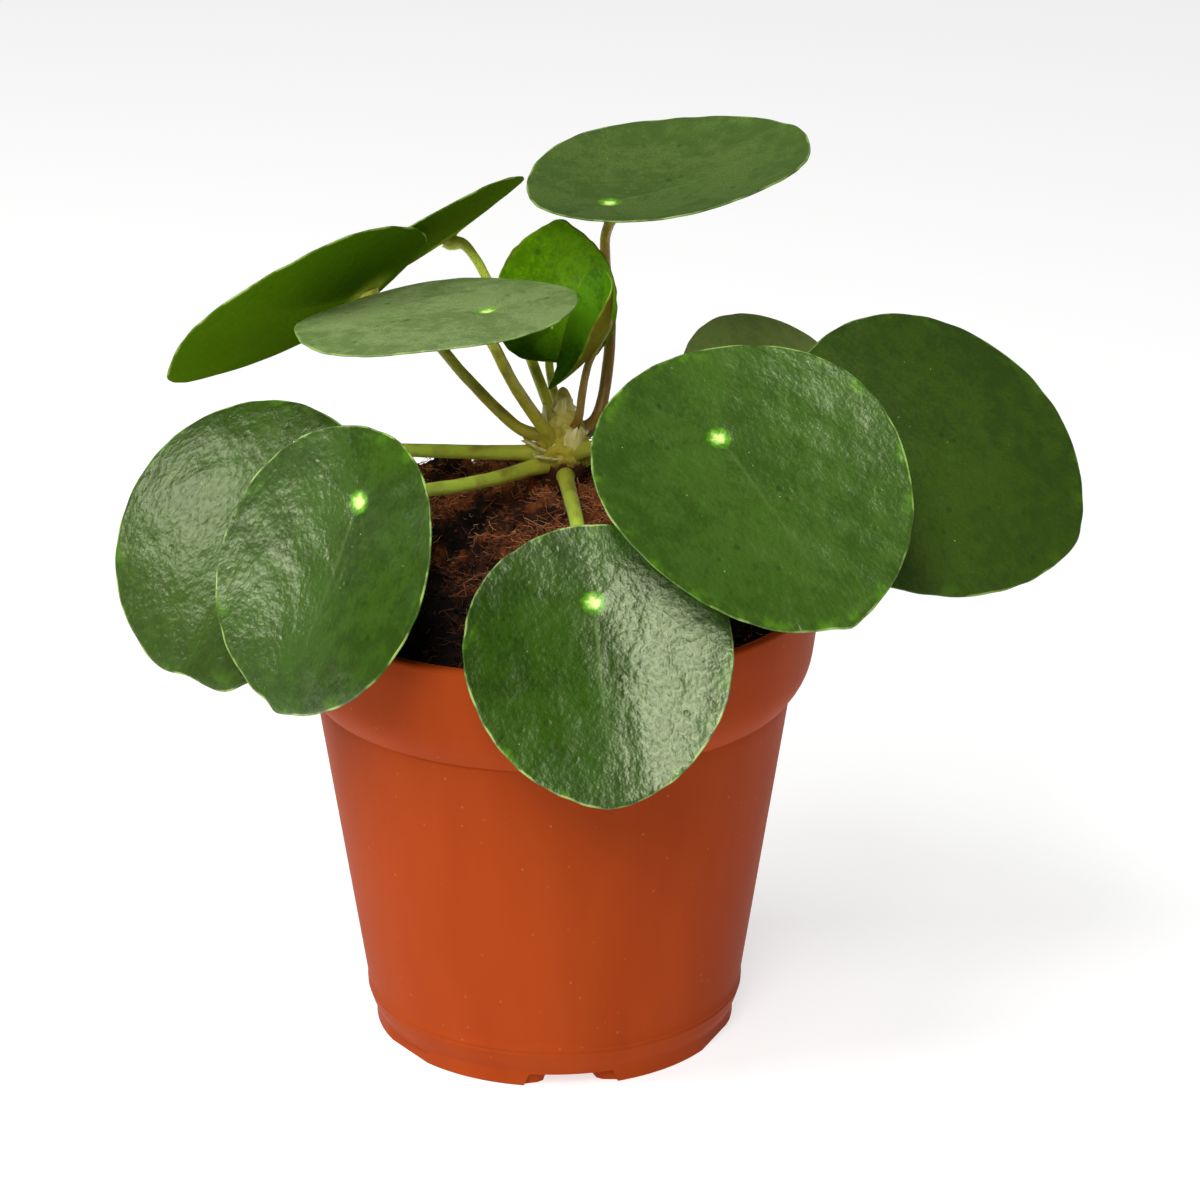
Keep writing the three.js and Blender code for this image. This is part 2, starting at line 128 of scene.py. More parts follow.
def lay_over(tree: Tree, colour: Any, *layers: tuple[Any, ...], curve: str = "SMOOTHSTEP") -> Any:
    """Lays colours over one another, each where a value runs from a start to an end.

    Args:
        tree: the material's tree.
        colour: the lowest colour.
        layers: value, start, end, strength, mask or None, and hex colour; without a start and an end, the
            value is the share.
        curve: how the share rises from start to end.

    Returns:
        The colour.
    """
    for value, start, end, strength, mask, code in layers:
        if start is None:
            share = add_node(tree, "Math", value, strength, operation="MULTIPLY")
        else:
            share = add_node(tree, "MapRange", value, start, end, 0.0, strength, interpolation_type=curve)
        if mask:
            share = add_node(tree, "Math", share, mask, operation="MULTIPLY")
        colour = add_node(tree, "Mix", named={0: share, 6: colour, 7: linear(code)}, data_type="RGBA", out=2)
    return colour


def smooth_noise(x: Array, y: Array, wavelength: float, seed: int, count: int = 18) -> Array:
    """Gives a seeded, smooth random field as a sum of plane waves.

    Args:
        x: first coordinate in millimetres.
        y: second coordinate in millimetres.
        wavelength: typical distance between two crests.
        seed: fixed seed of the draw.
        count: number of waves.

    Returns:
        Values spread about zero, mostly between -1 and 1.
    """
    draw = np.random.default_rng(seed)
    total = np.zeros(np.broadcast(x, y).shape)
    for _ in range(count):
        heading = draw.uniform(0, TURN)
        number = TURN / (wavelength * draw.uniform(0.7, 1.4))
        phase = draw.uniform(0, TURN)
        total += np.cos(number * (x * math.cos(heading) + y * math.sin(heading)) + phase)
    return total / math.sqrt(count)


def turn_about(axis: str, degrees: float) -> Array:
    """Gives the 3 x 3 rotation about a main axis."""
    return np.array(Matrix.Rotation(math.radians(degrees), 3, axis))


def catmull_rom(points: Sequence[Point], count: int) -> Array:
    """Samples a centripetal Catmull-Rom curve.

    Args:
        points: points that the curve passes through.
        count: number of samples.

    Returns:
        An array of count points.
    """
    given = np.array(points, float)
    ends = np.vstack([2 * given[0] - given[1], given, 2 * given[-1] - given[-2]])
    samples = []
    for place in np.linspace(0, len(given) - 1, count):
        index = min(int(place), len(given) - 2)
        share = place - index
        p0, p1, p2, p3 = ends[index : index + 4]
        d0, d1, d2 = (math.sqrt(np.linalg.norm(b - a)) for a, b in ((p0, p1), (p1, p2), (p2, p3)))
        m1 = ((p1 - p0) / d0 - (p2 - p0) / (d0 + d1) + (p2 - p1) / d1) * d1
        m2 = ((p2 - p1) / d1 - (p3 - p1) / (d1 + d2) + (p3 - p2) / d2) * d1
        cubic = 2 * p1 - 2 * p2 + m1 + m2
        square = -3 * p1 + 3 * p2 - 2 * m1 - m2
        samples.append(p1 + m1 * share + square * share**2 + cubic * share**3)
    return np.array(samples)


def round_the_axis(count: int) -> Array:
    """Gives evenly spaced headings over one turn."""
    return np.linspace(0, TURN, count, endpoint=False)


def ring(angles: Array, radius: Any, height: Any, centre: Pair = (0.0, 0.0)) -> Array:
    """Gives one ring of points.

    Args:
        angles: heading of each point.
        radius: radius of the ring, or of each point.
        height: height of the ring, or of each point.
        centre: what it goes round.

    Returns:
        The points.
    """
    x, y = centre[0] + radius * np.cos(angles), centre[1] + radius * np.sin(angles)
    return np.stack([x, y, np.zeros_like(angles) + height], -1)


def shell_faces(rows: int, count: int, flipped: bool = False) -> Faces:
    """Gives the faces of a closed shell: a first point, rings from below and a last point.

    Args:
        rows: number of rings.
        count: points in each ring, counted anticlockwise.
        flipped: the shell's rings are counted from its top, so its faces turn the other way.

    Returns:
        Vertex numbers of each face.
    """
    faces: Faces = []
    last = 1 + (rows - 1) * count
    for j in range(count):
        k = (j + 1) % count
        faces.append((0, 1 + k, 1 + j))
        for a in range(1, last, count):
            faces.append((a + j, a + k, a + k + count, a + j + count))
        faces.append((last + j, last + k, last + count))
    return [(face[0], *face[:0:-1]) for face in faces] if flipped else faces


# Making pieces


@dataclass
class Ground:
    """Places the plant: the pot's axis in the row's frame."""

    axis: Vector = field(default_factory=Vector)

    def read(self) -> None:
        """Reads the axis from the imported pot."""
        low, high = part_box("pot")
        self.axis = Vector(((low.x + high.x) / 2, (low.y + high.y) / 2, 0.0))

    def metres(self, points: Any) -> Array:
        """Turns plant millimetres into row metres."""
        return np.asarray(points, float) * MM + np.array(self.axis)


GROUND = Ground()


def shade_smooth(mesh: Mesh) -> Mesh:
    """Shades every face of a mesh smooth."""
    mesh.polygons.foreach_set("use_smooth", [True] * len(mesh.polygons))
    return mesh


def new_mesh(
    name: str, points: Any, faces: Sequence[Sequence[int]], uv: Array | None = None,
    values: dict[str, Array] | None = None,
) -> Mesh:
    """Makes a smooth-shaded mesh in the row's frame.

    Args:
        name: name of the mesh.
        points: vertices in plant millimetres.
        faces: vertex numbers of each face, turning left seen from outside.
        uv: place of each vertex on the piece's own map.
        values: a float for each vertex, by attribute name.

    Returns:
        The mesh.
    """
    mesh = bpy.data.meshes.new(name)
    mesh.from_pydata(GROUND.metres(points).tolist(), [], [list(face) for face in faces])
    if uv is not None:
        corner = np.empty(len(mesh.loops), np.int32)
        mesh.loops.foreach_get("vertex_index", corner)
        mesh.uv_layers.new(name="UVMap").data.foreach_set("uv", uv[corner].astype(np.float32).ravel())
    for key, numbers in (values or {}).items():
        mesh.attributes.new(key, "FLOAT", "POINT").data.foreach_set("value", numbers.astype(np.float32))
    shade_smooth(mesh).update()
    return mesh


def place_object(name: str, data: bpy.types.ID | None) -> bpy.types.Object:
    """Puts an object in the scene.

    Args:
        name: its name.
        data: its mesh, curve, light or camera.

    Returns:
        The object.
    """
    placed = bpy.data.objects.new(name, data)
    bpy.context.collection.objects.link(placed)
    return placed


def settled(carrier: bpy.types.Object, *tools: bpy.types.Object) -> Mesh:
    """Turns what a carrier's modifiers make into a plain mesh.

    Args:
        carrier: object with the modifiers, removed afterwards.
        tools: objects that the modifiers read, removed too.

    Returns:
        The plain mesh.
    """
    bpy.context.view_layer.update()
    mesh = bpy.data.meshes.new_from_object(carrier.evaluated_get(bpy.context.evaluated_depsgraph_get()))
    for item in (carrier, *tools):
        bpy.data.objects.remove(item)
    return mesh


def add_piece(name: str, mesh: Mesh, finish: "Finish", replaces: Sequence[str] = ()) -> None:
    """Puts a finished mesh in the scene as a piece of the plant.

    Args:
        name: plain name of the piece.
        mesh: its mesh, already in place.
        finish: what its surface is; its material is used unless the mesh has one.
        replaces: CAD nodes that it stands for.
    """
    piece = place_object(name, mesh)
    if not mesh.materials:
        mesh.materials.append(finish.material())
    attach(piece, BODY)
    if replaces:
        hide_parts(*replaces)
    triangles = sum(len(face.vertices) - 2 for face in mesh.polygons)
    LOG.info("%s: %d triangles, %s", name, triangles, finish.name)


def grow(name: str, source: bpy.types.ID, tree: Tree, **inputs: Any) -> Mesh:
    """Runs a geometry tree on a curve or mesh and keeps the result as a plain mesh.

    Args:
        name: name of the carrier.
        source: curve or mesh that the tree reads.
        tree: geometry tree.
        inputs: value of each named input.

    Returns:
        The plain mesh.
    """
    carrier = place_object(name + "_carrier", source)
    modifier = carrier.modifiers.new("Grow", "NODES")
    modifier.node_group = tree
    for item in tree.interface.items_tree:
        if item.item_type == "SOCKET" and item.in_out == "INPUT" and item.name in inputs:
            modifier[item.identifier] = inputs[item.name]
    return settled(carrier)


def new_tree(name: str, **inputs: Any) -> tuple[Tree, dict[str, Any]]:
    """Starts a geometry tree with named inputs.

    Args:
        name: name of the tree.
        inputs: default of each input after the geometry; None stands for a material.

    Returns:
        The tree and its inputs' sockets by name.
    """
    tree = bpy.data.node_groups.new(name, "GeometryNodeTree")
    for way in ("INPUT", "OUTPUT"):
        tree.interface.new_socket("Geometry", in_out=way, socket_type="NodeSocketGeometry")
    kinds = {float: "NodeSocketFloat", int: "NodeSocketInt", type(None): "NodeSocketMaterial"}
    for label, default in inputs.items():
        socket = tree.interface.new_socket(label, in_out="INPUT", socket_type=kinds[type(default)])
        if default is not None:
            socket.default_value = default
    return tree, {socket.name: socket for socket in add_node(tree, "NodeGroupInput").node.outputs}


def end_tree(tree: Tree, geometry: Any, material: Any) -> Tree:
    """Ends a geometry tree in real, dressed geometry.

    Args:
        tree: the tree.
        geometry: socket of the geometry.
        material: socket of the material.

    Returns:
        The tree.
    """
    real = add_node(tree, "GeometryNodeRealizeInstances", geometry)
    dressed = add_node(tree, "GeometryNodeSetMaterial", real, named={"Material": material})
    add_node(tree, "NodeGroupOutput", dressed)
    return tree


# Finishes


@dataclass(frozen=True)
class Finish:
    """What a surface is made of, and how its material is drawn."""

    name: str
    slot: str

    def material(self) -> bpy.types.Material:
        """Gives the material, made on first use.

        Returns:
            The material.
        """
        found = bpy.data.materials.get(self.name)
        if found:
            return found
        material = bpy.data.materials.new(self.name)
        material.use_nodes = True
        tree = material.node_tree
        tree.nodes.clear()
        add_node(tree, "OutputMaterial", add_node(tree, "BsdfPrincipled", named=self.draw(tree)))
        return material

    def draw(self, tree: Tree) -> dict[str, Any]:
        """Adds the finish's own nodes.

        Args:
            tree: the material's tree.

        Returns:
            What each of the shader's inputs gets.
        """
        raise NotImplementedError


@dataclass(frozen=True)
class LivingLeaf(Finish):
    """Fleshy evergreen leaf: a waxy cuticle over finely wrinkled tissue, with a pale thin rim.

    The wax gives a broad grey sheen that the wrinkles break into grain; the tissue over the stalk
    has no green in it and reads as a bright spot. Places on the blade are in millimetres from that
    spot, towards the tip and to the right.
    """

    upper: str = "#36580F"
    deep: str = "#294508"
    fresh: str = "#386408"
    under: str = "#345205"
    rim: str = "#9DB964"
    halo: str = "#5FA51E"
    dot: str = "#DDF08E"
    roughness: float = 0.33
    gloss: float = 0.68
    pucker: float = 1.0
    drawn: float = 0.85
    mottle: float = 0.3
    vein: float = 0.03
    speckle: float = 0.6
    fringe: float = 0.3
    dot_size: float = 1.25
    halo_size: float = 2.7
    left_rise: float = 0.0
    left_from: float = 0.0
    right_rise: float = 0.0
    right_from: float = 0.0
    tip_drop: float = 0.0
    drop_from: float = 26.0
    dull: tuple[Point, ...] = ()

    def tissue(self, tree: Tree, place: Any, edge: Any, vein: Any, pit: Any) -> Any:
        """Draws the upper face: tone patches, a yellow-green fringe that is partly painted light through the
        thin edge, veins, pores, and pits darkened with painted shade.

        Args:
            tree: the material's tree.
            place: position on the blade's own map in millimetres.
            edge: distance to the rim in millimetres.
            vein: strength of the main veins.
            pit: strength of the pits.

        Returns:
            The colour.
        """
        node = partial(add_node, tree)
        # Waves to the millimetre: clouds of 17 mm, flecks of 0.8 mm, blotches of 3 mm, grain of 0.4 mm
        # and stretches of fringe of 5 mm
        broad, fine, middle, grain, patch = (
            node("TexNoise", place, None, scale, detail)
            for scale, detail in ((0.06, 2.0), (1.3, 3.0), (0.32, 3.0), (2.8, 2.0), (0.2, 3.0))
        )
        other = node("TexNoise", place, None, 0.085, 2.0, None, 2.3, named={"Distortion": 0.6})
        tone = node("Math", fine, 0.45, broad, operation="MULTIPLY_ADD")
        blotches = node("Math", middle, 0.5, operation="SUBTRACT")
        tone = node("Math", blotches, 0.7, tone, operation="MULTIPLY_ADD")
        pores = node("TexVoronoi", place, None, 0.36).node
        some = node("MapRange", node("SeparateColor", pores.outputs["Color"]), 0.45, 0.75, **SOFT)
        fringed = node("MapRange", patch, 0.5, 0.66, 0.0, self.fringe, **SOFT)
        return lay_over(
            tree, linear(self.deep),
            (tone, 0.56, 0.86, 1.0, None, self.upper),
            (other, 0.42, 0.78, 0.4, None, self.fresh),
            (grain, 0.4, 0.7, self.mottle, None, self.deep),
            # Yellow-green fringe near the rim: partly painted light shining through the thin edge
            (edge, 3.4, 0.2, 1.0, fringed, "#5C8F14"),
            (vein, None, None, self.vein, None, "#8DA860"),
            (pores.outputs["Distance"], 0.06, 0.02, self.speckle, some, "#A9BE83"),
            # Painted shade: the pits are darkened as their hollows fall in shade
            (pit, None, None, 0.45, None, "#1E3208"),
        )

    def relief(self, tree: Tree, place: Any, pebble: Any, drawn: Any, pit: Any) -> Any:
        """Draws the cuticle's heights in millimetres.

        There are puckers of 2.4 mm, 1 mm and 0.4 mm, and the lie of the blade's halves.

        Args:
            tree: the material's tree.
            place: position on the blade's own map in millimetres.
            pebble: the middle pucker.
            drawn: position drawn out along the blade.
            pit: strength of the pits.

        Returns:
            The height.
        """
        node = partial(add_node, tree)
        fine = node("TexNoise", drawn, None, 2.5, 1.0)
        broad = node("TexNoise", drawn, None, 0.4, 1.0, named={"Distortion": 0.2})
        height = node("Math", broad, 0.13, operation="MULTIPLY")
        for layer, weight in ((pebble, 0.1), (fine, 0.026), (pit, -0.07)):
            height = node("Math", layer, weight, height, operation="MULTIPLY_ADD")
        height = node("Math", height, self.pucker, operation="MULTIPLY")
        # The halves rise from the midrib and the tip drops, which bounds the sheen
        along, across = node("SeparateXYZ", place).node.outputs[:2]
        for way, side, start, slope, softness in (
            (across, 1.0, self.right_from, self.right_rise, 15.0),
            (across, -1.0, self.left_from, self.left_rise, 15.0),
            (along, 1.0, self.drop_from, -self.tip_drop, 9.0),
        ):
            part = node("Math", way, side, -start, operation="MULTIPLY_ADD")
            part = node("Math", part, 0.0, softness, operation="SMOOTH_MAX")
            height = node("Math", part, slope, height, operation="MULTIPLY_ADD")
        return height

    def draw(self, tree: Tree) -> dict[str, Any]:
        """Draws tissue, spot, rim and cuticle from the blade's own map in millimetres.

        Args:
            tree: the material's tree.

        Returns:
            What each of the shader's inputs gets.
        """
        node = partial(add_node, tree)
        span, shift = (UV_SPAN, UV_SPAN, 0), (-UV_SPAN / 2, -UV_SPAN / 2, 0)
        place = node("VectorMath", node("UVMap", uv_map="UVMap"), span, shift, operation="MULTIPLY_ADD")
        edge, face, vein = (
            node("Attribute", attribute_name=key, out="Fac") for key in ("edge", "face", "vein")
        )
        # Small pits in about half of the cells of 5 mm, dented in the relief and darkened in the colour as
        # painted shade
        wells = node("TexVoronoi", place, None, 0.2).node
        some = node("MapRange", node("SeparateColor", wells.outputs["Color"], out=1), 0.45, 0.6, **SOFT)
        near = node("MapRange", wells.outputs["Distance"], 0.18, 0.06, **SOFT)
        pit = node("Math", near, some, operation="MULTIPLY")

        # Spot over the stalk: a pale core about 2 mm wide in a frayed bright green halo of 4 mm
        mottle = node("TexNoise", place, None, 0.9, 3.0)
        away = node("VectorMath", place, operation="LENGTH", out=1)
        frayed = node("Math", mottle, 2.2, away, operation="MULTIPLY_ADD")
        halo, core = self.halo_size, self.dot_size
        above = lay_over(
            tree, self.tissue(tree, place, edge, vein, pit),
            (frayed, halo + 1.1, core + 0.9, 1.0, None, self.halo),
            (frayed, core + 1.5, core * 0.5 + 0.9, 1.0, None, self.dot),
        )
        # Underside: even, saturated green, partly painted light shining through the blade, paler round the
        # stalk
        below = lay_over(
            tree, linear(self.under), (mottle, 0.35, 0.75, 0.35, None, self.fresh),
            (away, 7.0, 1.2, 0.9, None, "#A4B83A"), (vein, None, None, 0.25, None, "#5F8420"),
        )
        colour = node("Mix", named={0: face, 6: below, 7: above}, data_type="RGBA", out=2)
        # Rim: a translucent line about 0.3 mm wide; its brighter stretches are partly painted highlight and
        # painted light shining through the edge
        pale_rim_and_glint = node("MapRange", node("TexNoise", place, None, 0.16, 3.0), 0.42, 0.64, **SOFT)
        width = node("Math", pale_rim_and_glint, -0.16, edge, operation="MULTIPLY_ADD")
        strength = node("Math", pale_rim_and_glint, 0.7, 0.05, operation="MULTIPLY_ADD")
        colour = lay_over(tree, colour, (width, 0.14, -0.1, 1.0, strength, self.rim))

        drawn = node("Mapping", place, None, None, (self.drawn, 1.0, 1.0))
        pebble = node("TexNoise", drawn, None, 1.0, 1.0)
        height = self.relief(tree, place, pebble, drawn, pit)
        # Wax wears thin in dull patches and between the puckers, which breaks the sheen into grain
        wax = node("MapRange", face, None, None, 0.0, self.gloss)
        thinnings = []
        for x, y, reach in self.dull:
            off = node("VectorMath", place, (x, y, 0), operation="DISTANCE", out=1)
            thinnings.append((node("MapRange", off, reach * 0.4, reach, 0.0, 0.75, **SOFT), 0.25))
        thinnings.append((node("MapRange", pebble, 0.3, 0.7, 0.0, 0.4, **SOFT), 0.76))
        for thinned, least in thinnings:
            wax = node("Math", wax, node("Math", thinned, least, operation="ADD"), operation="MULTIPLY")
        return {
            "Base Color": colour, "Normal": node("Bump", 1.0, MM, named={"Height": height}),
            "Specular IOR Level": wax, "Specular Tint": linear("#F6FFD6"), "Roughness": self.roughness,
            "IOR": 1.45,
        }


@dataclass(frozen=True)
class LivingStalk(Finish):
    """Fleshy leaf stalk: smooth skin with faint long ribs, darker or redder at its foot."""

    foot: str = "#A8A63A"
    middle: str = "#A8BC38"
    tip: str = "#AEC646"
    blush: float = 0.55

    def draw(self, tree: Tree) -> dict[str, Any]:
        """Draws the colour along the stalk and its long ribs.

        Args:
            tree: the material's tree.

        Returns:
            What each of the shader's inputs gets.
        """
        node = partial(add_node, tree)
        along, around = (node("Attribute", attribute_name=key, out="Fac") for key in ("along", "around"))
        place = node("TexCoord", out="Object")
        # Waves to the metre: blotches of 3 mm, and flecks of 1 mm below
        blotch = node("TexNoise", place, None, 350.0, 3.0)
        level = node("Math", blotch, 0.16, along, operation="MULTIPLY_ADD")
        skin = node("ValToRGB", level, stops=((0.1, self.foot), (1.0, self.tip), (0.5, self.middle)))
        long = node("Mapping", node("CombineXYZ", along, around), None, None, (9.0, 2.2, 1.0))
        blush, fleck = node("TexNoise", long, None, 1.0, 3.0), node("TexVoronoi", place, None, 900.0)
        colour = lay_over(
            tree, skin, (blush, 0.46, 0.68, self.blush, None, "#7A5424"),
            (fleck, 0.16, 0.08, 0.5, None, "#C9D48A"), curve="LINEAR",
        )
        ribs = node("Math", node("Math", around, 44.0, operation="MULTIPLY"), operation="SINE")
        height = node("Math", blotch, 2.0, ribs, operation="MULTIPLY_ADD")
        return {
            "Base Color": colour, "Normal": node("Bump", 0.25, 0.05 * MM, named={"Height": height}),
            "Roughness": 0.42, "IOR": 1.42, "Subsurface Weight": 0.5, "Subsurface Radius": (0.8, 1.0, 0.25),
            "Subsurface Scale": 1.8 * MM,
        }


@dataclass(frozen=True)
class MouldedPolypropylene(Finish):
    """Thin injection-moulded polypropylene, pigmented terracotta.

    The tool's fine spark grain gives a satin skin; pigment flow leaves faint upright clouds, and
    handling leaves a few dull rubs.
    """

    body: str = "#A64215"
    cloud: str = "#9C3B12"
    dust: str = "#B97048"
    roughness: float = 0.5

    def draw(self, tree: Tree) -> dict[str, Any]:
        """Draws the pigment, the grain and the rubs.

        Args:
            tree: the material's tree.

        Returns:
            What each of the shader's inputs gets.
        """
        node = partial(add_node, tree)
        place = node("TexCoord", out="Object")
        # Clouds 17 mm wide and 70 mm tall, and specks 4 mm apart
        flow = node("TexNoise", node("Mapping", place, None, None, (60.0, 60.0, 14.0)), None, 1.0, 4.0)
        specks = node("TexVoronoi", place, None, 260.0)
        colour = lay_over(
            tree, linear(self.body), (flow, 0.35, 0.7, 1.0, None, self.cloud),
            (specks, 0.09, 0.04, 0.45, None, self.dust), curve="LINEAR",
        )
        # Spark grain of about 0.25 mm, drawn at 0.5 mm so that it shows
        grain = node("TexNoise", place, None, 2000.0, 2.0)
        rub = node("TexNoise", place, None, 45.0, 5.0)
        return {
            "Base Color": colour, "Normal": node("Bump", 0.35, 0.04 * MM, named={"Height": grain}),
            "Roughness": node("MapRange", rub, None, None, self.roughness - 0.06, self.roughness + 0.1),
            "IOR": 1.49, "Specular IOR Level": 0.04,
        }


@dataclass(frozen=True)
class Peat(Finish):
    """Moist peat: dark crumbs with reddish plant fibre; each crumb has a tone of its own."""

    dark: str = "#100804"
    middle: str = "#3C1D0D"
    warm: str = "#8A4A24"

    def draw(self, tree: Tree) -> dict[str, Any]:
        """Draws crumbs of three browns, paler higher up and darker low down as painted shade under the leaves
        and rim, with a rough skin.

        Args:
            tree: the material's tree.

        Returns:
            What each of the shader's inputs gets.
        """
        node = partial(add_node, tree)
        place = node("TexCoord", out="Object")
        tone = node("Attribute", attribute_name="tone", out="Fac")
        # Waves to the metre: clumps of 4 mm, drifts of 13 mm and a skin of 0.7 mm
        clumps, drift, rough = (
            node("TexNoise", place, None, scale, detail)
            for scale, detail in ((260.0, 6.0), (75.0, 2.0), (1400.0, 4.0))
        )
        # Painted shade: the peat darkens towards the bottom, where the leaves and the rim shade it
        raised = node("MapRange", node("SeparateXYZ", place, out=2), 0.093, 0.108, -0.22, 0.2)
        value = node("Math", tone, 0.35, clumps, operation="MULTIPLY_ADD")
        value = node("Math", drift, 2.2, value, operation="MULTIPLY_ADD")
        value = node("Math", node("Math", value, -1.08, operation="ADD"), raised, operation="ADD")
        colour = node("ValToRGB", value, stops=((0.36, self.dark), (0.9, self.warm), (0.62, self.middle)))
        return {
            "Base Color": colour, "Normal": node("Bump", 0.8, 0.4 * MM, named={"Height": rough}),
            "Roughness": 0.95, "Specular IOR Level": 0.25,
        }


@dataclass(frozen=True)
class PlantFibre(Finish):
    """Loose coir and root fibre, from red-brown to straw; each strand has a tone of its own."""

    dark: str = "#1E110A"
    middle: str = "#904E24"
    pale: str = "#C8895A"

    def draw(self, tree: Tree) -> dict[str, Any]:
        """Draws each strand in its tone, paler higher up and darker low down as painted shade under the
        leaves and rim.

        Args:
            tree: the material's tree.

        Returns:
            What each of the shader's inputs gets.
        """
        node = partial(add_node, tree)
        place = node("TexCoord", out="Object")
        tone = node("Attribute", attribute_name="tone", out="Fac")
        value = node("Math", node("TexNoise", place, None, 300.0), 0.3, tone, operation="MULTIPLY_ADD")
        # Painted shade: strands darken towards the bottom, where the leaves and the rim shade them
        raised = node("MapRange", node("SeparateXYZ", place, out=2), 0.094, 0.107, -0.55, 0.15)
        value = node("Math", value, raised, operation="ADD")
        colour = node("ValToRGB", value, stops=((0.15, self.dark), (1.0, self.pale), (0.72, self.middle)))
        return {"Base Color": colour, "Roughness": 0.75}


@dataclass(frozen=True)
class CorkyStem(Finish):
    """Young woody stem: red-brown cork low down, yellow-green skin between the stalks, a tan bud."""

    cork: str = "#42200C"
    skin: str = "#C2B23C"
    bud: str = "#DCCC66"
    scar: str = "#5C3A16"

    def draw(self, tree: Tree) -> dict[str, Any]:
        """Draws cork, skin and bud by height, with darker scars.

        Args:
            tree: the material's tree.

        Returns:
            What each of the shader's inputs gets.
        """
        node = partial(add_node, tree)
        place = node("TexCoord", out="Object")
        # Waves to the metre: patches of 2.6 mm and scars of 1.1 mm
        patch, fine = (node("TexNoise", place, None, scale, 4.0) for scale in (380.0, 900.0))
        raised = node("MapRange", node("SeparateXYZ", place, out=2), 0.1096, 0.1275)
        level = node("Math", patch, 0.3, raised, operation="MULTIPLY_ADD")
        stops = ((0.34, self.cork), (0.9, self.bud), (0.44, self.skin), (0.72, self.skin))
        skin = node("ValToRGB", level, stops=stops)
        return {
            "Base Color": lay_over(tree, skin, (fine, 0.52, 0.7, 0.45, None, self.scar), curve="LINEAR"),
            "Normal": node("Bump", 1.0, 0.5 * MM, named={"Height": fine}), "Roughness": 0.85,
            "Specular IOR Level": 0.2,
        }


@dataclass(frozen=True)
class PaperyScale(Finish):
    """Dry membranous scale at a stalk's foot: straw-coloured paper with brown streaks."""

    pale: str = "#EEE4A4"
    streak: str = "#D6C872"
    spot: str = "#B09A4C"

    def draw(self, tree: Tree) -> dict[str, Any]:
        """Draws streaks that run along the scale.

        Args:
            tree: the material's tree.

        Returns:
            What each of the shader's inputs gets.
        """
        node = partial(add_node, tree)
        long = node("Mapping", node("UVMap", uv_map="UVMap"), None, None, (7.0, 1.6, 1.0))
        streaks = node("TexNoise", long, None, 1.0, 4.0)
        return {
            "Base Color": node(
                "ValToRGB", streaks, stops=((0.25, self.spot), (0.62, self.pale), (0.42, self.streak))
            ),
            "Normal": node("Bump", 0.3, 0.1 * MM, named={"Height": streaks}), "Roughness": 0.42,
        }


@dataclass(frozen=True)
class StudioPaper(Finish):
    """Plain white paper lit a little from behind, so that it stays even and pale."""

    shade: str = "#BCBCBB"
    glow: float = 0.7

    def draw(self, tree: Tree) -> dict[str, Any]:
        """Draws matt pale paper with a barely seen tooth.

        Args:
            tree: the material's tree.

        Returns:
            What each of the shader's inputs gets.
        """
        tooth = add_node(tree, "TexNoise", add_node(tree, "TexCoord", out="Object"), None, 900.0)
        return {
            "Base Color": linear(self.shade), "Roughness": 0.9, "Emission Color": linear("#FFFFFF"),
            "Emission Strength": self.glow,
            "Normal": add_node(tree, "Bump", 0.05, 0.05 * MM, named={"Height": tooth}),
        }


MATURE = LivingLeaf("living_leaf_mature", "leaf_mature")
GREEN_STALK = LivingStalk("living_stalk_green", "petiole_green")
OLIVE_STALK = LivingStalk("living_stalk_olive", "petiole_olive", "#C4B63A", "#C6C03E", "#C6CA46")
POT_PLASTIC = MouldedPolypropylene("moulded_terracotta_polypropylene", "pot_plastic")
PEAT = Peat("moist_peat", "peat_soil")
FIBRE = PlantFibre("coir_and_root_fibre", "peat_soil")
STEM = CorkyStem("corky_young_stem", "stem_bark")
SCALE = PaperyScale("papery_stem_scale", "stem_bark")
PAPER = StudioPaper("pale_paper_sweep", "")


# Leaves


class Age(Enum):
    """Stage of a leaf, which sets the base of its finish."""

    MATURE = MATURE
    YOUNG = replace(
        MATURE, name="living_leaf_young", slot="leaf_young", upper="#5E8E05", deep="#456F03", fresh="#6BA008",
        under="#3E6204", rim="#7E9A30", pucker=0.5, speckle=0.5, roughness=0.4, gloss=0.1, dot_size=0.0,
        halo_size=0.8,
    )
    # Leaves seen edge-on: a waxy bloom whose pale grey-green is partly painted reflection of the pale
    # backdrop
    BLOOM = replace(
        MATURE, name="living_leaf_bloom_and_sheen", slot="leaf_glaucous", upper="#51672E", deep="#3E5521",
        fresh="#4C6828", rim="#8DA85C", pucker=0.8, drawn=0.6, mottle=0.9, roughness=0.42, gloss=0.5,
        vein=0.12, fringe=0.1,
    )

    def named(self, name: str, **changes: Any) -> LivingLeaf:
        """Gives one leaf's own finish at this stage."""
        return replace(self.value, name=f"living_leaf_{name}", **changes)


@dataclass(frozen=True)
class Roll:
    """Edge that rolls up over the upper face: where it starts, its radius, heading and spread."""

    start: float
    radius: float
    at: float
    spread: float


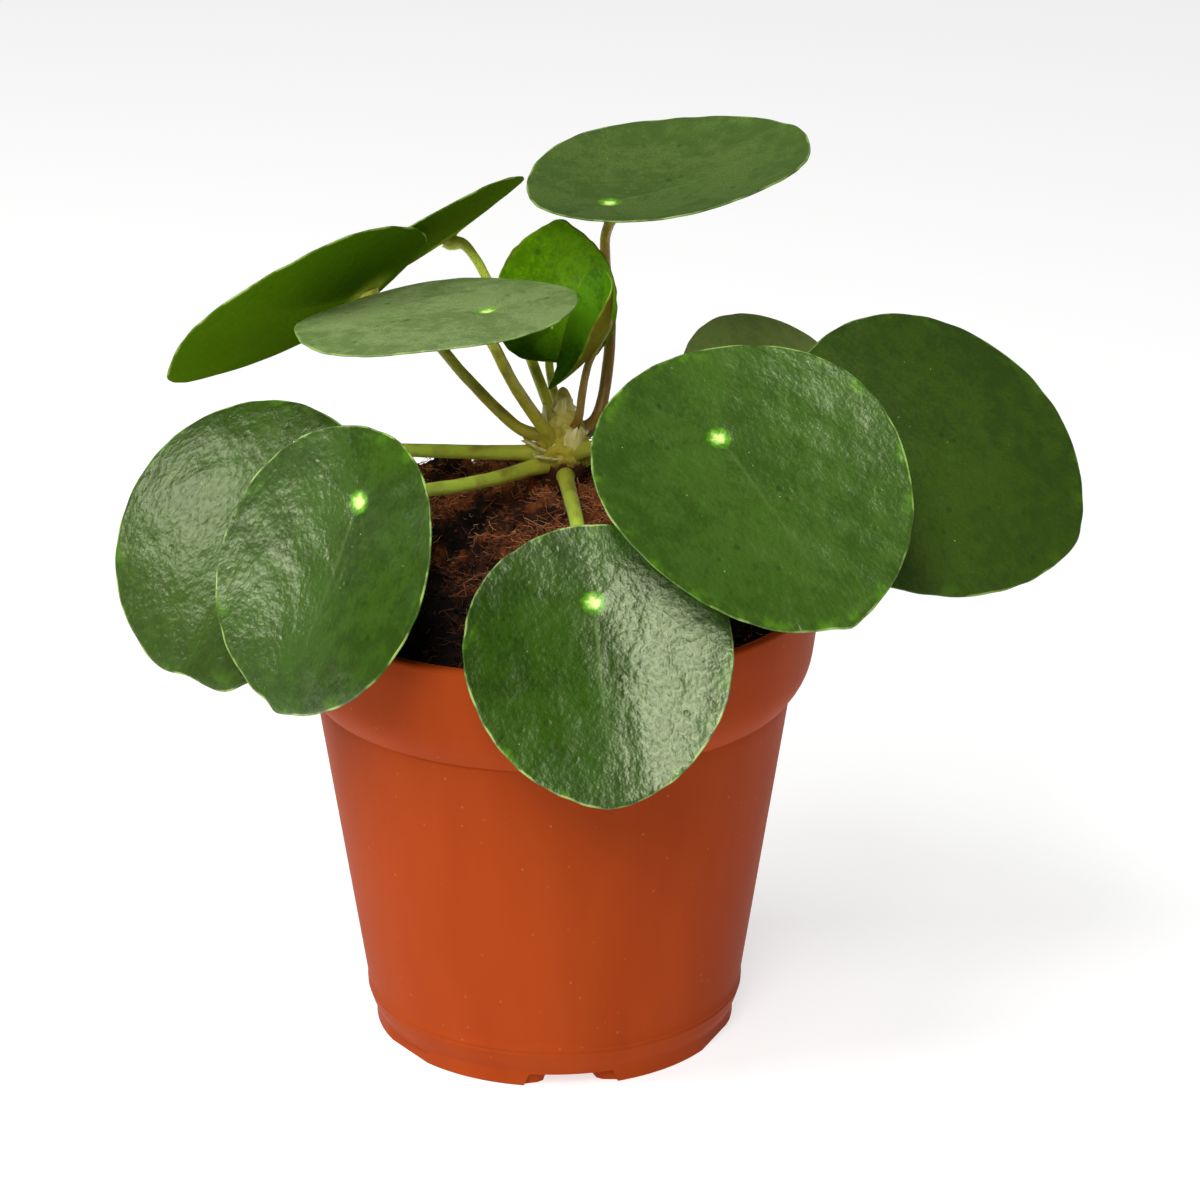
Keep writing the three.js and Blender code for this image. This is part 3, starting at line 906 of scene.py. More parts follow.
@dataclass
class Blade:
    """Coin-shaped leaf blade, in millimetres and degrees as its solid is."""

    name: str
    at: Point
    tilt: float
    lean: float
    turn: float
    length: float
    width: float
    seat: float
    finish: LivingLeaf
    dish: float = 0.0
    fold: float = 0.0
    sag: float = 0.0
    egg: float = 0.07
    point: float = 0.03
    crease: float = 0.0
    roll: Roll | None = None
    nicks: tuple[Point, ...] = ()
    order: int = 0
    scallop: float = 0.11
    rings: int = 40
    spokes: int = 152
    thickness: float = 0.85
    rim_thickness: float = 0.38

    @property
    def size(self) -> float:
        """Gives the blade's mean radius."""
        return (self.length + self.width) / 4

    @property
    def centre(self) -> float:
        """Gives how far the outline's middle lies from the navel."""
        return self.length * (0.5 - self.seat)

    def turned(self) -> Array:
        """Gives the rotation from the blade's own frame to the plant's."""
        return turn_about("Z", self.lean) @ turn_about("Y", self.tilt) @ turn_about("Z", self.turn)

    def flat(self, share: Array, angle: Array) -> tuple[Array, Array]:
        """Gives the blade's outline and inside before it is cupped.

        Args:
            share: place from navel (0) to rim (1).
            angle: heading about the navel.

        Returns:
            Places towards the tip and across.
        """
        bump = 1 + self.point * np.exp(-((angle / 0.25) ** 2))
        edge = self.edge_wave(angle) * share**6
        x = share * (self.centre + self.length / 2 * np.cos(angle) * bump) + edge * np.cos(angle)
        y = share * self.width / 2 * np.sin(angle) * (1 - self.egg * np.cos(angle)) + edge * np.sin(angle)
        return x, y

    def edge_wave(self, angle: Array) -> Array:
        """Gives the rim's shallow scallops and nicks.

        Args:
            angle: heading about the navel.

        Returns:
            Millimetres outwards.
        """
        draw = np.random.default_rng(100 + self.order)
        wave = np.zeros_like(angle)
        for number in (9, 14, 19, 25, 33):
            wave += np.sin(number * angle + draw.uniform(0, 6.28)) * draw.uniform(0.5, 1.0)
        wave *= self.scallop * 0.4
        for heading, width, depth in self.nicks:
            away = (np.degrees(angle) - heading + 180) % 360 - 180
            wave += depth * np.exp(-((away / width) ** 2))
        return wave

    def cupped(self, x: Array, y: Array, share: Array, angle: Array) -> Array:
        """Raises the flat blade into its dish, fold, sag and rolled edge.

        Args:
            x: place towards the tip.
            y: place across.
            share: place from navel to rim.
            angle: heading about the navel.

        Returns:
            Points of the upper face in the blade's frame.
        """
        z = 0.5 * (1 - np.exp(-(x**2 + y**2) / 2.2**2))
        z += self.dish * (((x - self.centre) ** 2 + y**2 - self.centre**2) / self.size**2)
        z += self.fold * (y / self.size) ** 2 - self.sag * (x / self.size) ** 2
        z += 0.012 * self.size * share**3 * np.sin(4 * angle + self.order * 2.4)
        z += 0.5 * self.edge_wave(angle + 0.3) * share**5
        z += self.crease * (np.sqrt(y**2 + 4) - 2 - 0.16 * self.size) * np.clip(share * 4, 0, 1)
        if self.roll:
            away = (np.arctan2(y, x) - math.radians(self.roll.at) + math.pi) % TURN - math.pi
            weight = np.cos(np.minimum(1, np.abs(away) / math.radians(self.roll.spread)) * math.pi / 2)
            radius = np.hypot(x, y)
            past = np.maximum(0, share - self.roll.start) * radius / np.maximum(share, 1e-6) * weight
            curl = past / self.roll.radius
            pulled = (radius - past + self.roll.radius * np.sin(curl)) / np.maximum(radius, 1e-6)
            x, y = x * pulled, y * pulled
            z += self.roll.radius * (1 - np.cos(curl))
        return np.stack([x, y, z], -1)

    def veins(self, x: Array, y: Array) -> Array:
        """Gives how strongly each point lies on a main vein.

        Args:
            x: place towards the tip.
            y: place across.

        Returns:
            Strengths from 0 to 1.
        """
        radius, heading = np.hypot(x, y), np.arctan2(y, x)
        strength = np.zeros_like(x)
        for degrees, bend, weight in (
            (0, 0, 1.0), (42, -26, 0.16), (-42, 26, 0.16), (84, -34, 0.12), (-84, 34, 0.12),
            (128, -26, 0.1), (-128, 26, 0.1), (168, -8, 0.08), (-168, 8, 0.08),
        ):
            line = math.radians(degrees) + math.radians(bend) * radius / self.size
            off = np.abs((heading - line + math.pi) % TURN - math.pi) * np.maximum(radius, 0.5)
            fade = np.clip((radius - 1) / 3, 0, 1) * np.clip(1.15 - radius / (1.1 * self.size), 0, 1)
            strength = np.maximum(strength, weight * fade * np.exp(-((off / (0.7 - 0.35 * weight)) ** 2)))
        return strength

    def relief(self, x: Array, y: Array, share: Array) -> Array:
        """Gives the puckers of the upper face.

        Args:
            x: place towards the tip.
            y: place across.
            share: place from navel to rim.

        Returns:
            Heights in millimetres.
        """
        seed = 20 + self.order
        calm = np.clip(share * 3, 0, 1) * (1 - 0.6 * share**8)
        rise = 0.06 * smooth_noise(x, y, 9, seed) + 0.02 * smooth_noise(x, y, 3.4, seed + 50)
        return self.finish.pucker * calm * rise - 0.02 * self.veins(x, y)

    def build(self) -> None:
        """Makes the closed blade, upper face first, and puts it in place of its solid."""
        shares = np.concatenate([[0.0], np.linspace(0, 1, self.rings + 1)[1:] ** 0.85])
        angles = np.linspace(-math.pi, math.pi, self.spokes, endpoint=False)
        share, angle = np.meshgrid(shares, angles, indexing="ij")
        x, y = self.flat(share, angle)
        top = self.cupped(x, y, share, angle)
        around = np.roll(top, -1, 1) - np.roll(top, 1, 1)
        normal = np.cross(np.gradient(top, axis=0), around)
        normal[0] = normal[1].mean(0)
        normal /= np.maximum(np.linalg.norm(normal, axis=-1, keepdims=True), 1e-9)
        outward = np.cross(around[-1], normal[-1])
        outward /= np.linalg.norm(outward, axis=-1, keepdims=True)
        thick = self.thickness + (self.rim_thickness - self.thickness) * share**2
        rise, veins = self.relief(x, y, share), self.veins(x, y)
        bottom = top - normal * (thick - 0.5 * rise)[..., None]
        bottom += normal * (-0.14 * veins)[..., None]
        top = top + normal * rise[..., None]
        half, middle = self.rim_thickness / 2, (top[-1] + bottom[-1]) / 2
        bead = [
            middle + outward * half * math.cos(a) + normal[-1] * half * math.sin(a) for a in np.radians(BEAD)
        ]
        whole = np.hypot(*self.flat(np.ones_like(angles), angles))

        def both_faces(values: Array, rim: Sequence[Array]) -> list[Array]:
            """Gives rows of values from the navel over the rim to the navel below."""
            return [*values[1:], *rim, *values[:0:-1]]

        rows = [*top[1:], *bead, *bottom[:0:-1]]
        distance = (1 - shares)[:, None] * whole
        flat = np.stack([x, y], -1)
        ones, zeros = np.ones(self.spokes), np.zeros(self.spokes)
        inner = [float(whole.mean())]
        values = {
            "edge": np.concatenate([inner, *both_faces(distance, [zeros] * len(BEAD)), inner]),
            "face": np.concatenate([[1.0], *[ones] * (self.rings + 2), *[zeros] * (self.rings + 2), [0.0]]),
            "vein": np.concatenate([[0.0], *both_faces(veins, [veins[-1]] * len(BEAD)), [0.0]]),
        }
        own_map = np.vstack([[0, 0], *both_faces(flat, [flat[-1]] * len(BEAD)), [0, 0]]) / UV_SPAN + 0.5
        points = np.vstack([top[0, :1], *rows, bottom[0, :1]]) @ self.turned().T + np.array(self.at)
        faces = shell_faces(len(rows), self.spokes, flipped=True)
        mesh = new_mesh(f"blade_{self.name}", points, faces, own_map, values)
        add_piece(f"blade_{self.name}", mesh, self.finish, [f"leaf_{self.name}"])


@dataclass
class Stalk:
    """Leaf stalk from the stem to the underside of its blade."""

    blade: Blade
    thickness: float
    root_heading: float
    root_height: float
    finish: LivingStalk
    approach: float
    route: tuple[Point, ...]
    stem: Pair = (2.0, 10.0)
    start_radius: float = 2.2

    def line(self) -> Array:
        """Gives the centre line from inside the stem to just under the blade.

        Returns:
            Points on the line.
        """
        start = ring(np.radians([self.root_heading]), self.start_radius, self.root_height, self.stem)[0]
        face, seat = self.blade.turned() @ np.array([0.0, 0.0, 1.0]), np.array(self.blade.at)
        ends = (seat - face * depth for depth in (self.approach, self.blade.thickness - 0.1))
        return catmull_rom([start, *self.route, *ends], 64)

    def build(self, tree: Tree) -> None:
        """Sweeps the stalk along its line and puts it in place of its solid.

        Args:
            tree: the shared sweep tree.
        """
        name = f"stalk_{self.blade.name}"
        curve = bpy.data.curves.new(name, "CURVE")
        curve.dimensions = "3D"
        spline = curve.splines.new("POLY")
        line = GROUND.metres(self.line())
        spline.points.add(len(line) - 1)
        spline.points.foreach_set("co", np.hstack([line, np.ones((len(line), 1))]).ravel())
        mesh = grow(name, curve, tree, Radius=self.thickness / 2 * MM, Material=self.finish.material())
        add_piece(name, mesh, self.finish, [f"petiole_{self.blade.name}"])


def stalk_tree() -> Tree:
    """Builds the tree that sweeps a stalk: thicker at the foot and flared under the blade.

    Returns:
        The geometry tree.
    """
    tree, given = new_tree("Sweep leaf stalk", Radius=0.001, Steps=72, Sides=18, Material=None)
    node = partial(add_node, tree)
    store, on_points = "GeometryNodeStoreNamedAttribute", {"data_type": "FLOAT", "domain": "POINT"}
    share = node("GeometryNodeSplineParameter")
    flare = node("Math", share, 26.0, operation="POWER")
    taper = node("Math", share, -0.25, 1.15, operation="MULTIPLY_ADD")
    swell = node("Math", flare, 1.2, taper, operation="MULTIPLY_ADD")
    base = node("Math", node("Math", 1.0, share, operation="SUBTRACT"), 14.0, operation="POWER")
    swell = node("Math", base, 0.4, swell, operation="MULTIPLY_ADD")
    radius = node("Math", swell, given["Radius"], operation="MULTIPLY")
    curve = node("GeometryNodeResampleCurve", given["Geometry"], named={"Count": given["Steps"]})
    curve = node(store, curve, named={"Name": "along", "Value": share}, **on_points)
    ring_curve = node("GeometryNodeCurvePrimitiveCircle", given["Sides"], named={"Radius": 1.0})
    around = node("GeometryNodeSplineParameter")
    ring_curve = node(store, ring_curve, named={"Name": "around", "Value": around}, **on_points)
    swept = {"Curve": curve, "Profile Curve": ring_curve, "Scale": radius, "Fill Caps": True}
    skin = node("GeometryNodeCurveToMesh", named=swept)
    # Knobs of 0.1 mm, 4 mm apart
    knobs = node("TexNoise", None, None, 260.0, 2.0)
    knobs = node("Math", knobs, 0.0002, -0.0001, operation="MULTIPLY_ADD")
    offset = node("VectorMath", node("GeometryNodeInputNormal"), named={"Scale": knobs}, operation="SCALE")
    skin = node("GeometryNodeSetPosition", skin, named={"Offset": offset})
    return end_tree(tree, node("GeometryNodeSetShadeSmooth", skin), given["Material"])


@dataclass
class Foliage:
    """The twelve leaves, each a blade and its stalk."""

    def leaves(self) -> list[Stalk]:
        """Gives every leaf with its place, shape, finish and stalk route.

        Returns:
            A stalk, with its blade, for each leaf.
        """
        brown, lime, pale, fresh = (
            replace(base, name=f"living_stalk_{name}", foot=foot, middle=middle, tip=tip)
            for base, name, foot, middle, tip in (
                (OLIVE_STALK, "brown", "#946E2E", "#9C7C2C", "#A29032"),
                (GREEN_STALK, "lime", "#D0CC4A", "#D2DC50", "#D2E058"),
                (GREEN_STALK, "pale", "#C6C444", "#C4D84C", "#C4DC50"),
                (GREEN_STALK, "fresh", "#B0B03C", "#AABF42", "#A8C448"),
            )
        )
        # Name, seat, tilt, lean, turn, length, width and seat share; stage, finish and shape;
        # stalk's thickness, heading and height at the stem, finish, straight end and route
        table = [
            (("top_right", (11, 12, 164.7), 10, 221, 162, 55, 52.5, 0.26), Age.BLOOM, {},
             dict(dish=4, fold=1.5), (2.1, 18, 118.9, brown, 2.5),
             ((8.4, 15, 120.3), (10.7, 19, 129.5), (11.2, 21.5, 139.5), (10.4, 21.5, 148.5),
              (10.2, 18.0, 156.2))),
            (("back_left", (-21.4, 46, 148.7), 38, 152, 97, 48, 46, 0.27), Age.MATURE, dict(under="#4E6A10"),
             dict(dish=1, sag=-1), (2, 115, 120.2, lime, 1.3),
             ((-0.6, 16, 122.3), (-3, 20, 127.3), (-5.8, 26, 132.6), (-9.8, 32, 137.7), (-13.4, 38, 142.3),
              (-15.6, 41.8, 145.2), (-18.4, 44.6, 147.7))),
            (("upper_left", (-36.1, 14, 146.8), 41, 138, 45, 56, 53.5, 0.27), Age.MATURE,
             dict(under="#4C6C0A"), dict(dish=4.5, fold=2, egg=0), (2.1, 158, 117.5, OLIVE_STALK, 5.0),
             ((-6.3, 11, 119.6), (-10, 11.2, 122.7), (-17.2, 11.5, 130.4), (-25, 11.5, 139.3))),
            # Paler still: painted reflection of the backdrop on this leaf, seen edge-on
            (("middle_left", (-12, -14, 150.8), 7, 166, 4, 53, 51, 0.32), Age.BLOOM,
             dict(upper="#82955E", deep="#627742", fresh="#738E50", mottle=0.95, speckle=1.0),
             dict(dish=-0.5, egg=0), (2.3, 225, 117.2, OLIVE_STALK, 5.0),
             ((-1.6, 5, 121.5), (-4.3, 1.5, 126.8), (-7.5, -3, 133.6), (-10.6, -8.5, 142))),
            (("young_upright", (0, 15, 139), 74, -84, 174, 28, 23.5, 0.3), Age.YOUNG, dict(rim="#5C4A14"),
             dict(dish=1, fold=2, sag=0.5, point=0.1, roll=Roll(0.45, 2.4, 180, 75)),
             (1.6, 72, 121.8, lime, 5.0), ((0.6, 13.6, 125), (-0.6, 15, 130.3), (-0.8, 18, 134.6))),
            (("young_folded", (9.1, 2, 144.4), 71, -150, -9, 23.2, 14.2, 0.42), Age.YOUNG,
             dict(upper="#4A7A08", deep="#335A05", fresh="#4E8208", under="#6A5A1C"),
             dict(dish=1, fold=2, sag=-1, point=0.16, egg=0.26, roll=Roll(0.5, 2.0, 80, 85)),
             (1.5, -55, 119.5, brown, 2.0), ((5, 5.6, 123.5), (5.8, 5, 129), (7, 4.4, 135))),
            (("back_right", (37.5, 30, 125), 44, -48, 28, 45, 43, 0.27), Age.MATURE,
             dict(upper="#7C9048", deep="#6C803E", fresh="#7A9042", rim="#6F8045", gloss=0.3, pucker=0.3,
                  speckle=0.1, fringe=0.0, roughness=0.4),
             dict(dish=-1.5), (2, 50, 115.6, GREEN_STALK, 5.0),
             ((9.5, 17.5, 119), (18, 24.5, 122.5), (28, 31, 122.5))),
            (("far_right", (61, 5, 123.5), 44, -70, 53, 63.5, 61.5, 0.27), Age.MATURE,
             dict(upper="#395212", deep="#2E4511", fresh="#3B570F", rim="#86A04F", pucker=0.85, mottle=0.55,
                  speckle=0.9, fringe=0.2),
             dict(dish=-3, sag=0.8, egg=0.1), (2.5, 0, 112.6, GREEN_STALK, 5.0),
             ((11, 11, 116.5), (24, 13, 120.5), (40, 14.5, 122.5), (52, 13.5, 120.5))),
            (("front_right", (31, -34, 132.5), 38, -74, 21, 62, 59, 0.3), Age.MATURE,
             dict(upper="#3C5B1A", deep="#304C10", fresh="#3B6212", pucker=1.1, gloss=0.66, vein=0.12,
                  speckle=0.9, fringe=0.5, dot_size=1.3),
             dict(dish=0.8, fold=2.9, sag=1, egg=0.09, nicks=((-2.0, 5.0, 0.5), (-12.0, 6.0, -0.2))),
             (2.6, -40, 115.5, GREEN_STALK, 5.0),
             ((8.5, 4, 118), (14, -2, 120), (21.5, -12, 123.5), (27.5, -23, 126))),
            (("front_centre", (8, -52, 107), 59, -83, 2, 51.5, 49, 0.28), Age.MATURE,
             dict(upper="#2D4A0A", deep="#213A04", fresh="#345C0E", pucker=1.15, gloss=0.93, drawn=1.0,
                  vein=0.3, fringe=0.4, left_rise=0.07, right_rise=0.24, right_from=7.0, tip_drop=-0.12,
                  drop_from=12.0, dull=((14.0, -18.0, 28.0), (-19.0, 12.0, 19.0))),
             dict(dish=-0.6, fold=0.6, egg=0.09, crease=0.012), (2.7, -78, 111.2, fresh, 5.0),
             ((2.6, 2, 112.3), (3.5, -8, 112.3), (4.7, -20, 111.8), (6, -33, 109.5))),
            (("front_left", (-35, -38, 121.5), 64, -133, -4, 54, 52, 0.25), Age.MATURE,
             dict(upper="#324E0E", deep="#263D07", fresh="#345A0A", vein=0.12, pucker=1.3, gloss=0.86,
                  drawn=0.8, speckle=0.9, dot_size=1.35, right_rise=0.2, right_from=-8.0, tip_drop=0.16,
                  drop_from=30.0, dull=((-16.0, 4.0, 20.0), (16.0, 22.0, 22.0))),
             dict(dish=1.5, fold=2.7, egg=0, nicks=((-1.0, 3.5, 0.35), (-9.0, 4.0, -0.35))),
             (2.6, -150, 113.4, pale, 5.0),
             ((-4.6, 5.2, 113.4), (-10, -2, 114.1), (-17.7, -12, 115.8), (-25, -22, 118))),
            (("far_left", (-52.3, -16, 117.6), 54, -113, -24, 56.5, 54, 0.29), Age.MATURE,
             dict(upper="#334C11", deep="#283D0A", fresh="#36560D", pucker=1.4, drawn=0.8, gloss=0.62),
             dict(dish=-4, sag=1, egg=0, nicks=((30.0, 8.0, 1.6), (12.0, 6.0, -0.4), (-75.0, 20.0, -0.5))),
             (2.6, 170, 114.8, pale, 5.0),
             ((-6, 9.5, 115.2), (-14.5, 7.5, 116), (-22.5, 4, 117.4), (-31, -0.5, 119), (-41, -6, 119.4))),
        ]
        return [
            Stalk(Blade(*place, age.named(place[0], **look), order=order, **shape), *stalk, route)
            for order, (place, age, look, shape, stalk, route) in enumerate(table)
        ]

    def build(self) -> None:
        """Builds every blade and stalk."""
        tree = stalk_tree()
        for stalk in self.leaves():
            stalk.blade.build()
            stalk.build(tree)


# Pot


@dataclass
class Pot:
    """Thin moulded nursery pot with a rim band, a notched foot ring and a holed floor."""

    height: float = 92.7
    rim: float = 52.5
    crease: float = 46.7
    crease_height: float = 70.4
    body_foot: float = 37.6
    foot: float = 36.0
    foot_width: float = 7.0
    wall: float = 1.2
    floor_underside: float = 3.0
    floor_top: float = 4.2
    notches: int = 6
    notch_mouth: float = 19.4
    notch_neck: float = 11.0
    notch_end: float = 7.5
    notch_height: float = 2.7
    notch_draft: float = 0.84
    first_notch: float = -84.2
    flat_distance: float = 35.17
    drain: float = 3.2
    drain_ring: float = 25.0
    segments: int = 200

    def inside(self) -> list[Pair]:
        """Gives the wall's inner line from the floor up.

        Returns:
            Radius and height of each point.
        """
        return [
            (self.foot - self.wall - 0.6, self.floor_top), (self.foot, self.floor_top + 1.4),
            (self.body_foot - self.wall, 9), (self.crease - self.wall - 0.2, self.crease_height - 0.6),
            (self.crease + 0.6, self.crease_height + 2), (self.crease + 2.6, self.crease_height + 5.4),
            (self.rim - 2.2, self.height - 3), (self.rim - 1.7, self.height - 0.3),
            (self.rim - 1.4, self.height),
        ]

    def outside(self) -> list[Pair]:
        """Gives the wall's outer line from the rim down, with its rounded shoulder and faint lines.

        Returns:
            Radius and height of each point.
        """
        lip = [(-0.95, 0), (-0.65, -0.05), (-0.3, -0.25), (-0.08, -0.6), (0, -1.1)]
        band = [
            (-0.55, 87.0), (-1.1, 82.0), (-1.45, 79.4), (-1.75, 77.8), (-2.15, 76.4), (-2.7, 75.1),
            (-3.4, 73.8), (-4.1, 72.8), (-4.75, 72.0), (-5.1, 71.5),
        ]
        line = [
            (0.02, 9.0), (0.14, 8.7), (0.14, 8.45), (-0.03, 8.2), (-0.03, 7.9), (0.08, 7.7), (0.08, 7.45),
            (-0.1, 7.2), (-0.3, 6.2), (-0.65, 5.2),
        ]
        corner = [(0.5, 4.3), (0.15, 3.6), (0, 3.0), (0, 0.35), (-0.3, 0.0)]
        slope = (self.body_foot - self.crease) / (self.crease_height - 9.4)
        return [
            *((self.rim + out, self.height + up) for out, up in lip),
            *((self.rim + out, z) for out, z in band),
            (self.crease - 0.1, 71.35), (self.crease - 0.06, 70.0),
            *((self.crease + slope * (self.crease_height - z), z) for z in np.linspace(68, 11, 16)),
            *((self.body_foot + out, z) for out, z in line), *((self.foot + out, z) for out, z in corner),
        ]

    def prism(self, outline: Sequence[Pair], low: float, high: float, draft: float) -> bmesh.types.BMesh:
        """Makes an upright prism that cuts the foot.

        Args:
            outline: its corners.
            low: its lower end.
            high: its upper end.
            draft: how far its top is drawn in across.

        Returns:
            The prism.
        """
        prism = bmesh.new()
        face = prism.faces.new([prism.verts.new(Vector((x, y, low)) * MM) for x, y in outline])
        moved = bmesh.ops.extrude_face_region(prism, geom=[face])["geom"]
        top = [v for v in moved if isinstance(v, bmesh.types.BMVert)]
        bmesh.ops.translate(prism, verts=top, vec=(0, 0, (high - low) * MM))
        bmesh.ops.scale(prism, verts=top, vec=(1.0, draft, 1.0))
        bmesh.ops.recalc_face_normals(prism, faces=prism.faces)
        return prism

    def cutters(self) -> Mesh:
        """Gives the foot ring's drain notches, the flats between them and the drain holes.

        Returns:
            One mesh of them all.
        """
        whole = bmesh.new()
        half = [
            (self.foot - self.foot_width - 2, self.notch_end / 2), (self.foot - 3.4, self.notch_neck / 2),
            (self.foot - 2.6, self.notch_neck / 2 + 1.2), (self.foot - 2.2, self.notch_mouth / 2),
            (self.foot + 5, self.notch_mouth / 2),
        ]
        notch = half + [(x, -y) for x, y in reversed(half)]
        flat = [(self.flat_distance + x, y) for x, y in ((0, -12), (8, -12), (8, 12), (0, 12))]
        hole = [
            (self.drain_ring + self.drain * math.cos(a), self.drain * math.sin(a)) for a in round_the_axis(24)
        ]
        for i in range(self.notches):
            heading = math.radians(self.first_notch + i * 360 / self.notches)
            foot_cut = flat if i % 2 else notch
            for shape, low, high, draft in (
                (foot_cut, -1.0, self.notch_height, self.notch_draft), (hole, 1.0, 6.5, 1.0),
            ):
                prism = self.prism(shape, low, high, draft)
                prism.transform(Matrix.Rotation(heading, 4, "Z"))
                piece = bpy.data.meshes.new("cut")
                prism.to_mesh(piece)
                prism.free()
                whole.from_mesh(piece)
                bpy.data.meshes.remove(piece)
        whole.transform(Matrix.Translation(GROUND.axis))
        mesh = bpy.data.meshes.new("pot_cutters")
        whole.to_mesh(mesh)
        whole.free()
        return mesh

    def build(self) -> None:
        """Turns the pot, cuts its notches and holes, and puts it in place of its solid."""
        inner_foot = self.foot - self.foot_width
        profile = [
            (inner_foot, self.floor_underside), (inner_foot, 0.0), *self.outside()[::-1],
            *self.inside()[::-1],
        ]
        angles = round_the_axis(self.segments)
        rows = [ring(angles, radius, height) for radius, height in profile]
        points = np.vstack([[(0.0, 0.0, self.floor_underside)], *rows, [(0.0, 0.0, self.floor_top)]])
        carrier = place_object("pot_carrier", new_mesh("pot", points, shell_faces(len(rows), self.segments)))
        cut = carrier.modifiers.new("Drain", "BOOLEAN")
        cut.object = place_object("pot_knife", self.cutters())
        cut.operation, cut.solver = "DIFFERENCE", "EXACT"
        mesh = settled(carrier, cut.object)
        mesh.materials.clear()
        shade_smooth(mesh).set_sharp_from_angle(angle=math.radians(38))
        add_piece("nursery_pot", mesh, POT_PLASTIC, ["pot"])


# Soil


def strew(
    tree: Tree, given: dict[str, Any], shapes: Sequence[Any], dense: Any, turn: Any, size: Any, shade: int
) -> Any:
    """Stands a pick of shapes on points of a surface, each with a tone of its own.

    Args:
        tree: geometry tree that gets the nodes.
        given: the tree's inputs.
        shapes: geometry of each shape.
        dense: points to the square metre.
        turn: rotation of each.
        size: scale of each.
        shade: seed of the tones.

    Returns:
        The real geometry.
    """
    node = partial(add_node, tree)
    pool = node("GeometryNodeJoinGeometry")
    for shape in shapes:
        tree.links.new(node("GeometryNodeGeometryToInstance", shape), pool.node.inputs[0])
    points = node(
        "GeometryNodeDistributePointsOnFaces", given["Geometry"],
        named={"Density": dense, "Seed": given["Seed"]},
    )
    placed = node("GeometryNodeInstanceOnPoints", points, named={
        "Instance": pool, "Pick Instance": True, "Rotation": turn, "Scale": size,
    })
    tone = node("FunctionNodeRandomValue", named={"Seed": shade}, data_type="FLOAT", out=1)
    toned = node(
        "GeometryNodeStoreNamedAttribute", placed, named={"Name": "tone", "Value": tone}, data_type="FLOAT",
        domain="INSTANCE",
    )
    return node("GeometryNodeRealizeInstances", toned)


def litter_tree() -> Tree:
    """Builds the tree that strews crumbs of peat over a surface.

    Returns:
        The geometry tree.
    """
    tree, given = new_tree(
        "Strew peat crumbs", Density=300000.0, Smallest=0.0004, Largest=0.0018, Seed=1, Material=None
    )
    node = partial(add_node, tree)
    lumps = []
    for number in range(4):
        where = node("GeometryNodeInputPosition")
        moved = node("VectorMath", where, (number * 7.3, number * 3.1, 0.0), operation="ADD")
        dent = node("MapRange", node("TexNoise", moved, None, 1.3, 3.0), 0.25, 0.75, 0.35, 1.35)
        shape = node("VectorMath", where, named={"Scale": dent}, operation="SCALE")
        squashed = node("VectorMath", shape, (1.0, 0.75, 0.55), operation="MULTIPLY")
        ball = node("GeometryNodeMeshIcoSphere", 1.0, 1)
        lumps.append(node("GeometryNodeSetPosition", ball, named={"Position": squashed}))
    chance = node("FunctionNodeRandomValue", named={"Seed": given["Seed"]}, data_type="FLOAT", out=1)
    rare = node("Math", chance, 3.0, operation="POWER")
    size = node("MapRange", rare, None, None, given["Smallest"], given["Largest"])
    turn = node(
        "FunctionNodeRandomValue", (0.0, 0.0, 0.0), (6.283, 6.283, 6.283), named={"Seed": given["Seed"]},
        data_type="FLOAT_VECTOR",
    )
    return end_tree(tree, strew(tree, given, lumps, given["Density"], turn, size, 77), given["Material"])


def fibre_tree() -> Tree:
    """Builds the tree that lays curly strands on a surface.

    Returns:
        The geometry tree.
    """
    tree, given = new_tree(
        "Lay loose fibres", Density=100000.0, Length=0.008, Thickness=0.00012, Lift=0.5, Seed=1, Material=None
    )
    node = partial(add_node, tree)
    strands = []
    for number in range(5):
        line = node("GeometryNodeCurvePrimitiveLine", named={"Start": (-0.5, 0, 0), "End": (0.5, 0, 0)})
        fine = node("GeometryNodeResampleCurve", line, named={"Count": 6})
        shift = (number * 5.7, number * 1.9, 0.0)
        moved = node("VectorMath", node("GeometryNodeInputPosition"), shift, operation="ADD")
        sway = node("TexNoise", moved, None, 1.6, 2.0, out=1)
        bend = node("VectorMath", sway, (0.5, 1.3, 0.7), (-0.25, -0.65, -0.33), operation="MULTIPLY_ADD")
        strands.append(node("GeometryNodeSetPosition", fine, named={"Offset": bend}))
    tufts = node("MapRange", node("TexNoise", None, None, 75.0, 2.0), 0.42, 0.6, 0.1)
    dense = node("Math", tufts, given["Density"], operation="MULTIPLY")
    turn = node(
        "FunctionNodeRandomValue", (-0.5, -0.5, 0.0), (0.5, 0.5, 6.283), named={"Seed": given["Seed"]},
        data_type="FLOAT_VECTOR",
    )
    chance = node("FunctionNodeRandomValue", named={2: 0.35, 3: 1.3, "Seed": 5}, data_type="FLOAT", out=1)
    size = node("Math", chance, given["Length"], operation="MULTIPLY")
    laid = strew(tree, given, strands, dense, turn, size, 31)
    lift = node("CombineXYZ", None, None, given["Lift"])
    laid = node("GeometryNodeSetPosition", laid, named={"Offset": lift})
    taper = node("MapRange", node("GeometryNodeSplineParameter"), None, None, 1.0, 0.35)
    thin = node("Math", taper, given["Thickness"], operation="MULTIPLY")
    section = node("GeometryNodeCurvePrimitiveCircle", 3, named={"Radius": 1.0})
    skin = node(
        "GeometryNodeCurveToMesh",
        named={"Curve": laid, "Profile Curve": section, "Scale": thin, "Fill Caps": True},
    )
    return end_tree(tree, node("GeometryNodeSetShadeSmooth", skin), given["Material"])


